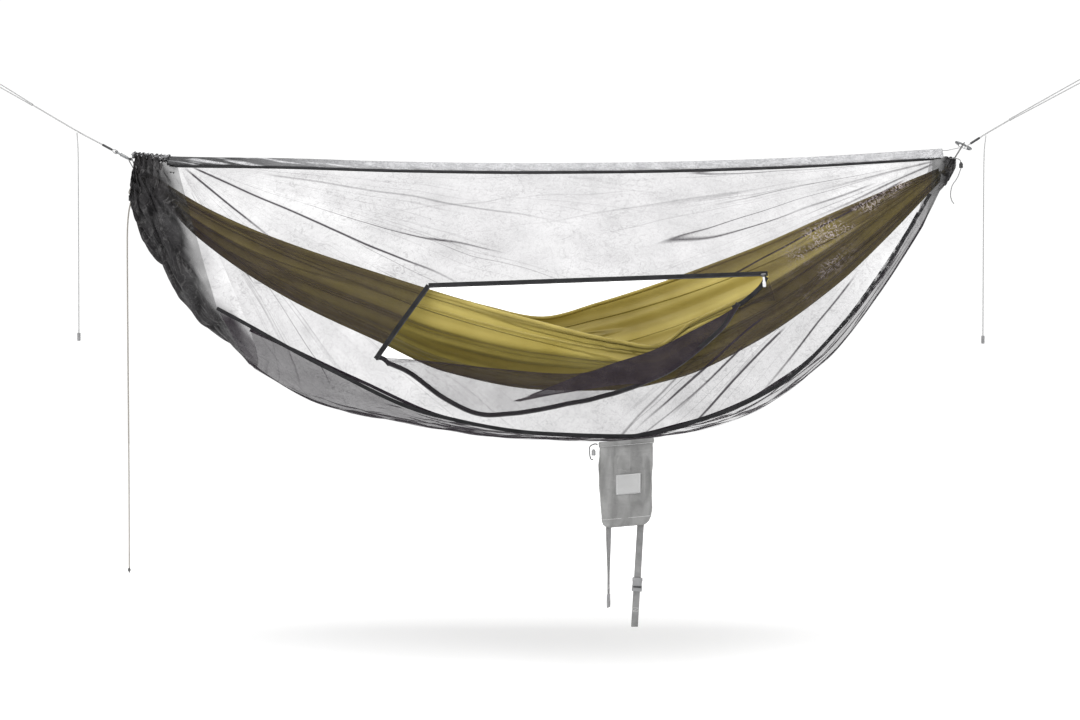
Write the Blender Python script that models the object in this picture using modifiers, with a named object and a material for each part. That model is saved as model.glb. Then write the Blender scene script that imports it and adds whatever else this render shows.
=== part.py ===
"""Camping hammock inside a zipped insect net, hung from two adjustable cord slings.

Metres, +Z up. The origin is the left anchor point, +X runs to the right anchor, and +Y points away
from the side with the door.
"""
import math

import bmesh
import bpy
import numpy as np
from mathutils import Matrix, Vector

# ---------------------------------------------------------------- driving dimensions
SPAN = 3.55                 # left anchor to right anchor
RIGHT_ANCHOR_Z = 0.012

NET_DROP = 0.88             # ridge to the level where the net is widest
NET_SKIN = 0.0016           # modelled thickness of the mesh panels
TAPE_SKIN = 0.0012
TAPE_WIDTH = 0.011
RIDGE_COVER_HEIGHT = 0.026
PANEL_COLUMNS = 26

HAMMOCK_HALF_WIDTH = 0.30
HAMMOCK_SKIN = 0.0018
HAMMOCK_CLEARANCE = 0.012   # between the rims and the net
HAMMOCK_LEFT = 0.520
HAMMOCK_RIGHT = 3.054

SLING_CORD = 0.0019         # radii
SPLICE_CORD = 0.0024
EYE_CORD = 0.0016
DRAWCORD = 0.0023
THIN_CORD = 0.0013
GAP = 0.0003                # clearance between pieces that touch

SACK_CENTRE_X = 2.028
SACK_TOP_Z = -1.141
SACK_HEIGHT = 0.252
SACK_WIDTH = 0.160
SACK_DEPTH = 0.058
SACK_SLOPE = 0.085          # the seam that holds the sack climbs to the right

FLAP_LEAN = 0.50            # outward lean of the hanging flap, metres per metre
FLAP_STANDOFF = 0.014
SLIDER_FROM_END = 0.020
WALL_LEAN = 0.52            # lean of the near wall behind the zip pull, metres per metre

# Ridge line of the net, as (x, z).
RIDGE = [(0.44, -0.238), (0.62, -0.254), (1.33, -0.260), (2.03, -0.272), (2.55, -0.259),
         (3.10, -0.226)]
# Seam between side wall and floor of the net, as (x, z).
SEAM = [(0.75, -0.726), (0.87, -0.787), (1.15, -0.932), (1.46, -1.066), (1.78, -1.121),
        (2.03, -1.129), (2.27, -1.074), (2.49, -0.972), (2.67, -0.815), (2.88, -0.560), (3.05, -0.320)]
# Lowest line of the net's floor, as (x, z).
FLOOR_LINE = [(0.80, -0.895), (1.08, -1.050), (1.34, -1.105), (1.65, -1.150), (1.94, -1.160),
              (2.20, -1.142), (2.40, -1.092), (2.68, -0.912), (2.86, -0.690), (3.05, -0.400)]
# Half width of the net where it is widest, as (x, y).
NET_HALF_WIDTH = [(0.56, 0.24), (0.87, 0.34), (1.35, 0.42), (2.45, 0.415), (2.67, 0.35),
                  (2.88, 0.28), (3.08, 0.15)]

# Hammock rims and lowest line, as (x, z).
NEAR_RIM = [(0.52, -0.306), (0.67, -0.404), (1.05, -0.566), (1.42, -0.687), (1.75, -0.782),
            (2.02, -0.846), (2.12, -0.860), (2.23, -0.790), (2.47, -0.675), (3.062, -0.296)]
FAR_RIM = [(0.52, -0.300), (0.90, -0.470), (1.30, -0.620), (1.60, -0.720), (1.78, -0.757),
           (1.97, -0.710), (2.47, -0.538), (2.79, -0.400), (3.062, -0.288)]
KEEL = [(0.52, -0.335), (0.68, -0.520), (0.95, -0.708), (1.27, -0.850), (1.48, -0.938),
        (1.78, -0.992), (2.01, -0.996), (2.21, -0.960), (2.45, -0.855), (2.71, -0.682), (2.88, -0.528), (3.062, -0.325)]

# Slanted edges where the panels meet the bunched ends: (x at the ridge, x per metre of depth).
LEFT_EDGE = (0.604, 0.386)
RIGHT_EDGE = (3.036, -0.190)

# Door: zip corner, zip ends and the line that the flap hangs from, as (x, z).
DOOR_CORNER = (1.440, -0.682)
DOOR_TOP_END = (2.468, -0.645)
DOOR_SIDE_END = (1.290, -0.905)
FLAP_LEFT = (1.315, -0.912)
FLAP_RIGHT = (2.400, -0.725)

COLLECTION = "camping_hammock"


# ---------------------------------------------------------------- scene helpers
def clear_scene():
    for old in list(bpy.data.objects):
        bpy.data.objects.remove(old, do_unlink=True)


def collection(name):
    found = bpy.data.collections.get(name)
    if found is None:
        found = bpy.data.collections.new(name)
        bpy.context.scene.collection.children.link(found)
    return found


def material(name, colour, roughness=0.7, metallic=0.0):
    mat = bpy.data.materials.get(name)
    if mat is None:
        mat = bpy.data.materials.new(name)
        mat.use_nodes = True
        shader = mat.node_tree.nodes["Principled BSDF"]
        shader.inputs["Base Color"].default_value = (*colour, 1.0)
        shader.inputs["Roughness"].default_value = roughness
        shader.inputs["Metallic"].default_value = metallic
    return mat


def olive_nylon():
    return material("olive_nylon", (0.31, 0.24, 0.055), 0.5)


def dark_mesh():
    return material("dark_mesh", (0.05, 0.05, 0.05), 0.8)


def silver_nylon():
    return material("silver_nylon", (0.55, 0.55, 0.56), 0.5)


def black_tape():
    return material("black_tape", (0.018, 0.018, 0.02), 0.75)


def grey_cord():
    return material("grey_cord", (0.52, 0.52, 0.52), 0.8)


def beige_cord():
    return material("beige_cord", (0.33, 0.31, 0.27), 0.8)


def black_plastic():
    return material("black_plastic", (0.02, 0.02, 0.022), 0.45)


def grey_plastic():
    return material("grey_plastic", (0.20, 0.20, 0.205), 0.45)


def aluminium():
    return material("aluminium", (0.62, 0.63, 0.64), 0.3, 1.0)


def spring_steel():
    return material("spring_steel", (0.5, 0.5, 0.5), 0.3, 1.0)


def grey_nylon():
    return material("grey_nylon", (0.29, 0.29, 0.29), 0.55)


def grey_webbing():
    return material("grey_webbing", (0.24, 0.24, 0.24), 0.85)


def finish(obj, mat):
    """Gives an object its material and puts it in the part's collection."""
    obj.data.materials.clear()
    obj.data.materials.append(mat)
    for owner in list(obj.users_collection):
        owner.objects.unlink(obj)
    collection(COLLECTION).objects.link(obj)
    return obj


def set_origin(obj, point):
    """Moves an object's origin to a point without moving its shape."""
    obj.data.transform(Matrix.Translation(-Vector(point)))
    obj.location = Vector(point)
    return obj


def frame_empty(name, location, rotation):
    """An empty that carries pieces modelled in its own axes."""
    empty = bpy.data.objects.new(name, None)
    empty.empty_display_size = 0.03
    empty.location = location
    empty.rotation_euler = rotation
    collection(COLLECTION).objects.link(empty)
    return empty


def seat(obj, parent):
    obj.parent = parent
    return obj


# ---------------------------------------------------------------- curves through points
def height_along(points):
    """A smooth function through (x, value) points that never overshoots them."""
    xs = np.array([p[0] for p in points])
    ys = np.array([p[1] for p in points])
    steps = np.diff(ys) / np.diff(xs)
    slopes = np.concatenate([[steps[0]], np.zeros(len(xs) - 2), [steps[-1]]])
    for i in range(1, len(xs) - 1):
        before, after = steps[i - 1], steps[i]
        if before * after > 0:
            slopes[i] = 2.0 * before * after / (before + after)

    def value(x):
        i = int(np.clip(np.searchsorted(xs, x) - 1, 0, len(xs) - 2))
        width = xs[i + 1] - xs[i]
        t = (x - xs[i]) / width
        if t < 0.0:
            return float(ys[0] + slopes[0] * (x - xs[0]))
        if t > 1.0:
            return float(ys[-1] + slopes[-1] * (x - xs[-1]))
        return float((2 * t**3 - 3 * t**2 + 1) * ys[i] + (t**3 - 2 * t**2 + t) * width * slopes[i]
                     + (3 * t**2 - 2 * t**3) * ys[i + 1] + (t**3 - t**2) * width * slopes[i + 1])

    return value


ridge_z = height_along(RIDGE)
seam_z = height_along(SEAM)
floor_z = height_along(FLOOR_LINE)
net_half_width = height_along(NET_HALF_WIDTH)
near_rim_z = height_along(NEAR_RIM)
far_rim_z = height_along(FAR_RIM)
keel_z = height_along(KEEL)


def route(points, count):
    """Evenly spaced points on a smooth curve through hand-placed points."""
    p = [Vector(q) for q in points]
    p = [2 * p[0] - p[1]] + p + [2 * p[-1] - p[-2]]
    dense = []
    for i in range(1, len(p) - 2):
        for k in range(24):
            t = k / 24
            dense.append(0.5 * (2 * p[i] + (p[i + 1] - p[i - 1]) * t
                                + (2 * p[i - 1] - 5 * p[i] + 4 * p[i + 1] - p[i + 2]) * t**2
                                + (3 * p[i] - p[i - 1] - 3 * p[i + 1] + p[i + 2]) * t**3))
    dense.append(p[-2])
    lengths = np.concatenate([[0.0], np.cumsum([(b - a).length for a, b in zip(dense, dense[1:])])])
    spaced = []
    for s in np.linspace(0.0, lengths[-1], count):
        i = min(int(np.searchsorted(lengths, s, side="right")) - 1, len(dense) - 2)
        share = (s - lengths[i]) / max(lengths[i + 1] - lengths[i], 1e-9)
        spaced.append(dense[i].lerp(dense[i + 1], share))
    return spaced


def tube(name, points, radius, mat, closed=False, sides=2):
    """A round cord, wire or rod along points."""
    curve = bpy.data.curves.new(name, "CURVE")
    curve.dimensions = "3D"
    curve.bevel_depth = radius
    curve.bevel_resolution = sides
    curve.use_fill_caps = not closed
    spline = curve.splines.new("POLY")
    spline.points.add(len(points) - 1)
    for slot, point in zip(spline.points, points):
        slot.co = (*point, 1.0)
    spline.use_cyclic_u = closed
    return finish(bpy.data.objects.new(name, curve), mat)


def sheet(name, rows, thickness, mat, ring=False, cap_last=False):
    """Cloth lofted through rows of points, made solid. A ring closes each row on itself."""
    bm = bmesh.new()
    grid = [[bm.verts.new(point) for point in row] for row in rows]
    columns = len(grid[0]) if ring else len(grid[0]) - 1
    for upper, lower in zip(grid, grid[1:]):
        for c in range(columns):
            d = (c + 1) % len(upper)
            bm.faces.new((upper[c], upper[d], lower[d], lower[c]))
    if cap_last:
        bm.faces.new(grid[-1])
    bmesh.ops.recalc_face_normals(bm, faces=bm.faces)
    mesh = bpy.data.meshes.new(name)
    bm.to_mesh(mesh)
    bm.free()
    mesh.shade_smooth()
    obj = finish(bpy.data.objects.new(name, mesh), mat)
    solid = obj.modifiers.new("thickness", "SOLIDIFY")
    solid.thickness = thickness
    solid.offset = 0.0
    return obj


def band(name, centres, across, thickness, mat):
    """A flat strip: centre points and, for each, the vector from its centre to its edge."""
    rows = [[c - a, c + a] for c, a in zip(centres, across)]
    return sheet(name, rows, thickness, mat)


def turned(name, profile, mat, steps=16):
    """A turned solid about local Z. The profile runs down the outside, from top to bottom, as (r, z)."""
    mesh = bpy.data.meshes.new(name)
    edges = [(i, i + 1) for i in range(len(profile) - 1)]
    mesh.from_pydata([(r, 0.0, z) for r, z in profile], edges, [])
    obj = finish(bpy.data.objects.new(name, mesh), mat)
    screw = obj.modifiers.new("turn", "SCREW")
    screw.steps = steps
    screw.render_steps = steps
    screw.use_merge_vertices = True
    screw.merge_threshold = 0.0001
    return obj


def plate(name, outline, thickness, mat):
    """A flat outline in local X and Y, with thickness along local Z."""
    curve = bpy.data.curves.new(name, "CURVE")
    curve.dimensions = "2D"
    curve.fill_mode = "BOTH"
    curve.extrude = thickness / 2
    spline = curve.splines.new("POLY")
    spline.points.add(len(outline) - 1)
    for slot, point in zip(spline.points, outline):
        slot.co = (*point, 0.0, 1.0)
    spline.use_cyclic_u = True
    return finish(bpy.data.objects.new(name, curve), mat)


# ---------------------------------------------------------------- net surfaces
def wall_y(x, z):
    """Distance of the net's side wall from the middle plane, at a place on it."""
    depth = min(max((ridge_z(x) - z) / NET_DROP, 0.0), 1.0)
    return net_half_width(x) * (1.0 - (1.0 - depth) ** 2)


def edge_x(edge, z):
    at_ridge, per_depth = edge
    return at_ridge + per_depth * (ridge_z(at_ridge) - z)


def seam_end(edge):
    """Where the lower seam meets a slanted end, found by stepping to the crossing."""
    x = edge_x(edge, -0.6)
    for _ in range(40):
        x = 0.5 * (x + edge_x(edge, seam_z(x)))
    return x


SEAM_LEFT = seam_end(LEFT_EDGE)
SEAM_RIGHT = seam_end(RIGHT_EDGE)


def panel_column(share, rows, side):
    """One column of a side wall, from the ridge tape down to the seam."""
    top_x = LEFT_EDGE[0] + 0.012 + (RIGHT_EDGE[0] - LEFT_EDGE[0] - 0.018) * share
    low_x = SEAM_LEFT + (SEAM_RIGHT - SEAM_LEFT) * share
    top = ridge_z(top_x) - RIDGE_COVER_HEIGHT - 0.004
    low = seam_z(low_x) + 0.003
    column = []
    for r in range(rows + 1):
        t = r / rows
        x = top_x + (low_x - top_x) * t
        z = top + (low - top) * t
        column.append(Vector((x, side * wall_y(x, z), z)))
    return column


def side_panel(name, side, rows):
    columns = [panel_column(i / PANEL_COLUMNS, rows, side) for i in range(PANEL_COLUMNS + 1)]
    return sheet(name, columns, NET_SKIN, dark_mesh())


def net_near_panel():
    panel = side_panel("net_near_panel", -1, 8)
    right = DOOR_TOP_END[0] - 0.004
    outline = [DOOR_CORNER, (right, DOOR_TOP_END[1] + 0.002), (right, DOOR_TOP_END[1] - 0.022),
               (FLAP_RIGHT[0], FLAP_RIGHT[1] + 0.004),
               (FLAP_LEFT[0], FLAP_LEFT[1] + 0.004), (DOOR_SIDE_END[0] + 0.004, DOOR_SIDE_END[1] + 0.012)]
    cutter = plate("door_cutter", outline, 0.40, dark_mesh())
    cutter.rotation_euler = (math.radians(90), 0.0, 0.0)
    cutter.location = (0.0, -0.32, 0.0)
    bpy.context.view_layer.update()
    depsgraph = bpy.context.evaluated_depsgraph_get()
    solid = bpy.data.meshes.new_from_object(cutter.evaluated_get(depsgraph))
    bm = bmesh.new()
    bm.from_mesh(solid)
    bmesh.ops.remove_doubles(bm, verts=bm.verts, dist=0.00005)
    bmesh.ops.recalc_face_normals(bm, faces=bm.faces)
    bm.to_mesh(solid)
    bm.free()
    block = bpy.data.objects.new("door_cutter_block", solid)
    block.matrix_world = cutter.matrix_world.copy()
    block.hide_render = True
    block.display_type = "WIRE"
    collection("cutters").objects.link(block)
    bpy.data.objects.remove(cutter, do_unlink=True)
    cut = panel.modifiers.new("door", "BOOLEAN")
    cut.operation = "DIFFERENCE"
    cut.object = block
    return panel


def net_far_panel():
    return side_panel("net_far_panel", 1, 6)


def net_bottom_panel():
    rows = []
    half_steps = 4
    for i in range(PANEL_COLUMNS + 1):
        share = i / PANEL_COLUMNS
        seam_x = SEAM_LEFT + (SEAM_RIGHT - SEAM_LEFT) * share
        left_x = edge_x(LEFT_EDGE, -0.93)
        right_x = edge_x(RIGHT_EDGE, -0.43)
        low_x = left_x + (right_x - left_x) * share
        half = wall_y(seam_x, seam_z(seam_x)) - 0.003
        row = []
        for k in range(-half_steps, half_steps + 1):
            v = k / half_steps
            sag = 1.0 - v * v
            x = seam_x + (low_x - seam_x) * sag
            z = seam_z(seam_x) - 0.003 + (floor_z(low_x) - seam_z(seam_x)) * sag
            row.append(Vector((x, half * v, z)))
        rows.append(row)
    return sheet("net_bottom_panel", rows, NET_SKIN, dark_mesh())


def seam_tape(name, side):
    centres, across = [], []
    for i in range(PANEL_COLUMNS + 1):
        x = SEAM_LEFT + 0.006 + (SEAM_RIGHT - SEAM_LEFT - 0.010) * i / PANEL_COLUMNS
        z = seam_z(x)
        centres.append(Vector((x, side * (wall_y(x, z) + 0.0028), z)))
        across.append(Vector((0.0, 0.0, TAPE_WIDTH / 2)))
    return band(name, centres, across, TAPE_SKIN, black_tape())


def ridge_tape(name, side):
    centres, across = [], []
    count = 24
    for i in range(count + 1):
        x = LEFT_EDGE[0] + 0.014 + (RIGHT_EDGE[0] - LEFT_EDGE[0] - 0.022) * i / count
        z = ridge_z(x) - RIDGE_COVER_HEIGHT - 0.006
        centres.append(Vector((x, side * (wall_y(x, z) + 0.0044), z)))
        across.append(Vector((0.0, side * 0.0030, -TAPE_WIDTH / 2)))
    return band(name, centres, across, TAPE_SKIN, black_tape())


def ridge_cover():
    """The strip folded over the ridge line, open below."""
    count = 24
    fold = [(-0.0150, -RIDGE_COVER_HEIGHT), (-0.0090, -0.0140), (-0.0036, -0.0040), (0.0, -0.0012),
            (0.0036, -0.0040), (0.0090, -0.0140), (0.0150, -RIDGE_COVER_HEIGHT)]
    rows = []
    for i in range(count + 1):
        x = 0.585 + (3.062 - 0.585) * i / count
        rows.append([Vector((x, y, ridge_z(x) + z)) for y, z in fold])
    return sheet("ridge_cover", rows, 0.0010, silver_nylon())


def ridge_gather():
    """The ruffled left end of the strip, pushed together on the ridge line."""
    stations = [(0.472, 0.0050), (0.484, 0.0090), (0.496, 0.0070), (0.510, 0.0120), (0.528, 0.0085),
                (0.548, 0.0125), (0.566, 0.0095), (0.580, 0.0120)]
    rows = []
    for x, radius in stations:
        centre = Vector((x, 0.0, ridge_z(x) - 0.0075))
        rows.append([centre + Vector((0.0, radius * math.cos(a), radius * 0.8 * math.sin(a)))
                     for a in np.linspace(0.0, 2 * math.pi, 12, endpoint=False)])
    return sheet("ridge_gather", rows, 0.0016, silver_nylon(), ring=True)


def ridge_line():
    xs = np.linspace(0.466, 3.080, 30)
    points = [Vector((x, 0.0, ridge_z(x) - 0.0075)) for x in xs] + [Vector((3.118, 0.0, -0.2265))]
    return tube("ridge_line", points, 0.0014, grey_cord())


def end_funnel(name, rings, thickness):
    """Net bunched round the hammock's end. Each ring has a top, a bottom and a half depth."""
    rows = []
    turns = 20
    for top, bottom, depth in rings:
        top, bottom = Vector((top[0], 0.0, top[1])), Vector((bottom[0], 0.0, bottom[1]))
        centre, up = (top + bottom) / 2, (top - bottom) / 2
        row = []
        for k in range(turns):
            a = 2 * math.pi * k / turns
            narrow_top = 0.78 - 0.22 * math.cos(a)
            row.append(centre + up * math.cos(a) + Vector((0.0, depth * math.sin(a) * narrow_top, 0.0)))
        rows.append(row)
    return sheet(name, rows, thickness, dark_mesh(), ring=True)


def net_left_bunch():
    rings = [((0.490, -0.280), (0.486, -0.392), 0.036), ((0.500, -0.282), (0.496, -0.468), 0.070),
             ((0.512, -0.285), (0.526, -0.560), 0.108), ((0.524, -0.288), (0.570, -0.625), 0.140),
             ((0.540, -0.292), (0.625, -0.720), 0.175), ((0.556, -0.296), (0.690, -0.800), 0.210),
             ((0.572, -0.300), (0.770, -0.862), 0.245), ((0.594, -0.306), (0.832, -0.920), 0.270)]
    return end_funnel("net_left_bunch", rings, 0.0060)


def net_right_gather():
    rings = [((3.040, -0.262), (3.012, -0.425), 0.062), ((3.052, -0.262), (3.036, -0.390), 0.048),
             ((3.064, -0.264), (3.056, -0.358), 0.036), ((3.073, -0.268), (3.072, -0.340), 0.028)]
    return end_funnel("net_right_gather", rings, 0.0030)


# ---------------------------------------------------------------- door
def on_wall(x, z, standoff):
    """A place outside the near wall."""
    return Vector((x, -wall_y(x, z) - standoff, z))


def zip_run():
    """Both ends of the straight top run of the zip."""
    return on_wall(*DOOR_CORNER, 0.0045), on_wall(*DOOR_TOP_END, 0.0045)


def door_zip_top():
    start, end = zip_run()
    along = (end - start).normalized()
    up = along.cross(Vector((0.0, 1.0, 0.0))).normalized() * -TAPE_WIDTH / 2
    centres = [start.lerp(end, i / 16) for i in range(17)]
    return band("door_zip_top", centres, [up] * len(centres), TAPE_SKIN, black_tape())


def door_zip_side():
    centres, across = [], []
    for i in range(9):
        t = 0.05 + 0.93 * i / 8
        x = DOOR_CORNER[0] + (DOOR_SIDE_END[0] - DOOR_CORNER[0]) * t
        z = DOOR_CORNER[1] + (DOOR_SIDE_END[1] - DOOR_CORNER[1]) * t
        centres.append(on_wall(x, z, 0.0045))
        across.append(Vector((TAPE_WIDTH / 2, 0.0, -TAPE_WIDTH / 5)))
    return band("door_zip_side", centres, across, TAPE_SKIN, black_tape())


def flap_axis():
    """Both ends of the line that the flap folds about."""
    return on_wall(*FLAP_LEFT, FLAP_STANDOFF), on_wall(*FLAP_RIGHT, FLAP_STANDOFF)


def flap_frame():
    """An empty on the fold line: local X along it, local Y down the hanging flap."""
    left, right = flap_axis()
    along = (right - left).normalized()
    down = Vector((0.0, -FLAP_LEAN, -1.0))
    down = (down - along * down.dot(along)).normalized()
    normal = along.cross(down)
    turn = Matrix((along, down, normal)).transposed()
    return frame_empty("flap_hinge", left, turn.to_euler())


def flap_edge():
    """The flap's free edge, from its left end to its right end, in its own plane."""
    left, right = flap_axis()
    length = (right - left).length
    corners = [(0.010, 0.010), (0.070, 0.048), (0.150, 0.128), (0.250, 0.198), (0.360, 0.216),
               (0.520, 0.214), (0.660, 0.206), (0.790, 0.180), (0.900, 0.127), (1.000, 0.070),
               (length - 0.030, 0.010)]
    return route([(x, y, 0.0) for x, y in corners], 24)


def door_flap(frame):
    edge = [(p.x, p.y) for p in flap_edge()]
    return seat(plate("door_flap", edge, NET_SKIN, dark_mesh()), frame)


def flap_zip_tape(frame):
    edge = flap_edge()
    centres, across = [], []
    for i, point in enumerate(edge):
        ahead = edge[min(i + 1, len(edge) - 1)] - edge[max(i - 1, 0)]
        inward = Vector((ahead.y, -ahead.x, 0.0)).normalized()
        centres.append(point + inward * TAPE_WIDTH / 2 + Vector((0.0, 0.0, 0.0020)))
        across.append(inward * TAPE_WIDTH / 2)
    return seat(band("flap_zip_tape", centres, across, TAPE_SKIN, black_tape()), frame)


def slider_frame():
    start, end = zip_run()
    along = (end - start).normalized()
    place = start.lerp(end, 1.0 - SLIDER_FROM_END / (end - start).length)
    up = along.cross(Vector((0.0, 1.0, 0.0))).normalized() * -1
    out = up.cross(along).normalized()
    turn = Matrix((out, up, along)).transposed()
    if turn.determinant() < 0:
        turn = Matrix((-out, up, along)).transposed()
    return frame_empty("slider_track", place, turn.to_euler())


def zip_slider(frame):
    """A clip section round the tape's lower edge, long along the zip."""
    skin = TAPE_SKIN / 2 + 0.0005
    section = [(-skin - 0.0022, 0.0045), (-skin - 0.0022, -0.0090), (skin + 0.0016, -0.0090),
               (skin + 0.0016, -0.0030), (skin, -0.0030), (skin, -0.0064), (-skin, -0.0064),
               (-skin, 0.0045)]
    return seat(plate("zip_slider", section, 0.015, grey_plastic()), frame)


def pull_pivot():
    return on_wall(DOOR_TOP_END[0] - SLIDER_FROM_END, DOOR_TOP_END[1] - 0.012, 0.0120)


def zip_pull():
    """The tab lies along the wall below the slider, hinged at its upper end."""
    pivot = pull_pivot()
    outline = [(-0.003, 0.0), (0.003, 0.0), (0.0036, -0.014), (0.0046, -0.018), (0.0046, -0.031),
               (0.003, -0.034), (-0.003, -0.034), (-0.0046, -0.031), (-0.0046, -0.018),
               (-0.0036, -0.014)]
    tab = plate("zip_pull", outline, 0.0022, silver_nylon())
    tab.location = pivot
    lean = math.atan2(WALL_LEAN, 1.0)
    tab.rotation_euler = (math.radians(90) - lean, 0.0, 0.0)
    return tab


# ---------------------------------------------------------------- hammock
def hammock_section(x):
    t = (x - HAMMOCK_LEFT + 0.02) / (HAMMOCK_RIGHT - HAMMOCK_LEFT + 0.04)
    half = HAMMOCK_HALF_WIDTH * math.sin(math.pi * t) ** 0.8
    low = keel_z(x)
    row = []
    half_steps = 6
    for k in range(-half_steps, half_steps + 1):
        v = k / half_steps
        rim = near_rim_z(x) if v < 0 else far_rim_z(x)
        reach = min(half, wall_y(x, rim) - HAMMOCK_CLEARANCE)
        z = low + (rim - low) * abs(v) ** 1.9
        row.append(Vector((x, reach * math.sin(v * math.pi / 2), z)))
    return row


def hammock_body():
    count = 30
    stations = [HAMMOCK_LEFT + (HAMMOCK_RIGHT - HAMMOCK_LEFT) * i / count for i in range(count + 1)]
    return sheet("hammock_body", [hammock_section(x) for x in stations], HAMMOCK_SKIN, olive_nylon())


def end_gather(name, inner, outer):
    """The whipped bundle at an end of the hammock, from its inner face to its outer face."""
    inner, outer = Vector(inner), Vector(outer)
    length = (outer - inner).length
    profile = [(0.0, length), (0.0075, length), (0.0090, length * 0.75), (0.0068, length * 0.5),
               (0.0100, length * 0.15), (0.0120, 0.0), (0.0, 0.0)]
    bundle = turned(name, profile, olive_nylon(), 14)
    bundle.location = inner
    bundle.rotation_mode = "QUATERNION"
    bundle.rotation_quaternion = (outer - inner).to_track_quat("Z", "Y")
    return bundle


# ---------------------------------------------------------------- suspension
HOOK_ROD = 0.0031
GATE_WIRE = 0.0010
GATE_PIVOT = (0.0145, 0.0125)
SPINE_Y = -0.0145           # the carabiner's spine in its own axes
OUTER_BAR_X = 0.0008
INNER_BAR_X = 0.0530
SLEEVE_LENGTH = 0.036
EYE_REACH = 0.0140
EYE_TO_FITTING = 0.0024     # a loop's legs arrive at a slant, so they stop a little short


def hook_frame(side, end, along, shift_y):
    """Local X runs along the carabiner from its hinge end, local Y along the row's Y."""
    along = Vector(along).normalized()
    across = Vector((0.0, 1.0, 0.0))
    turn = Matrix((along, across, along.cross(across))).transposed()
    return frame_empty(side + "_hook_frame", Vector(end) + across * shift_y, turn.to_euler())


def carabiner(side, frame):
    bends = [GATE_PIVOT, (0.0060, 0.0105), (OUTER_BAR_X, 0.0035), (OUTER_BAR_X, -0.0045),
             (0.0060, -0.0110), (0.0160, -0.0140), (0.0390, SPINE_Y), (0.0495, -0.0110),
             (INNER_BAR_X, -0.0030), (0.0528, 0.0060), (0.0498, 0.0115), (0.0430, 0.0138)]
    points = route([(x, y, 0.0) for x, y in bends], 32)
    return seat(tube(side + "_carabiner", points, HOOK_ROD, aluminium()), frame)


def carabiner_gate(side, frame):
    """A bent wire that flanks the rod at its pivot and rests inside the nose."""
    flank = HOOK_ROD + GATE_WIRE + GAP
    half = [(0.0, 0.0, flank), (0.0105, -0.0007, flank), (0.0225, -0.0025, flank * 0.86),
            (0.0290, -0.0042, flank * 0.6), (0.0310, -0.0045, 0.0)]
    other = [(x, y, -z) for x, y, z in reversed(half[:-1])]
    wire = tube(side + "_carabiner_gate", route(half + other, 25), GATE_WIRE, spring_steel())
    wire.location = (*GATE_PIVOT, 0.0)
    return seat(wire, frame)


def loop_round(bar, face, sideways, bend):
    """A cord loop round a bar whose two legs meet at a face."""
    bar, face = Vector(bar), Vector(face)
    towards = (face - bar).normalized()
    arc = []
    for k in range(9):
        a = math.radians(-90 + 22.5 * k)
        arc.append(bar - towards * bend * math.cos(a) + sideways * bend * math.sin(a))
    past = bar + towards * bend
    close = sideways * (EYE_CORD + 0.0005)
    return [face - close, past - sideways * bend] + arc + [past + sideways * bend, face + close]


def sling(side, anchor, merge, tail_top, bar, sideways, bend, sway):
    """All the cords and fittings between an anchor and the bar that its eye goes round."""
    anchor, merge, tail_top, bar = Vector(anchor), Vector(merge), Vector(tail_top), Vector(bar)
    outward = (tail_top - bar).normalized()
    sleeve_end = bar + outward * EYE_REACH
    sleeve_start = sleeve_end + outward * SLEEVE_LENGTH
    eye = loop_round(bar, sleeve_end - outward * EYE_TO_FITTING, sideways, bend)
    tube(side + "_sling_eye", eye, EYE_CORD, grey_cord())
    tube(side + "_splice_sleeve", [sleeve_start, sleeve_end], 0.0038, black_plastic())
    line_end = sleeve_start + outward * GAP
    tube(side + "_sling_line", route([merge, tail_top, line_end], 16), SPLICE_CORD, grey_cord())

    to_merge = (merge - anchor).normalized()
    up = Vector((0.0, 1.0, 0.0)).cross(to_merge).normalized()
    if up.z < 0:
        up = -up
    last = merge - to_merge * (GAP * 2)
    near_end = SLING_CORD + GAP
    upper = [last + up * near_end, last.lerp(anchor, 0.5) + up * 0.0040,
             anchor + to_merge * 0.004 + up * 0.0052]
    bend_points = [anchor - to_merge * 0.0036 + up * 0.0036, anchor - to_merge * 0.0052,
                   anchor - to_merge * 0.0036 - up * 0.0036]
    lower = [anchor + to_merge * 0.004 - up * 0.0052, last.lerp(anchor, 0.5) - up * 0.0040,
             last - up * near_end]
    tube(side + "_sling_loop", route(upper + bend_points + lower, 34), SLING_CORD, grey_cord())

    start = tail_top - Vector((0.0, 0.0, (SPLICE_CORD + SLING_CORD) * 1.35))
    drop = [start, start + Vector((sway, 0.0, -0.07)), start + Vector((sway * 1.3, 0.0, -0.28)),
            start + Vector((sway * 1.6, 0.0, -0.642))]
    tube(side + "_sling_tail", route(drop, 24), SLING_CORD * 0.9, grey_cord())
    cap = [drop[-1] - Vector((0.0, 0.0, GAP)), drop[-1] - Vector((0.0, 0.0, 0.024))]
    tube(side + "_tail_sleeve", cap, 0.0052, grey_plastic())


def end_loop(side, bar, face, sideways, bend):
    """The cord loop from the carabiner to the hammock's end bundle."""
    return tube(side + "_hammock_loop", loop_round(bar, face, sideways, bend), EYE_CORD, grey_cord())


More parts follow.
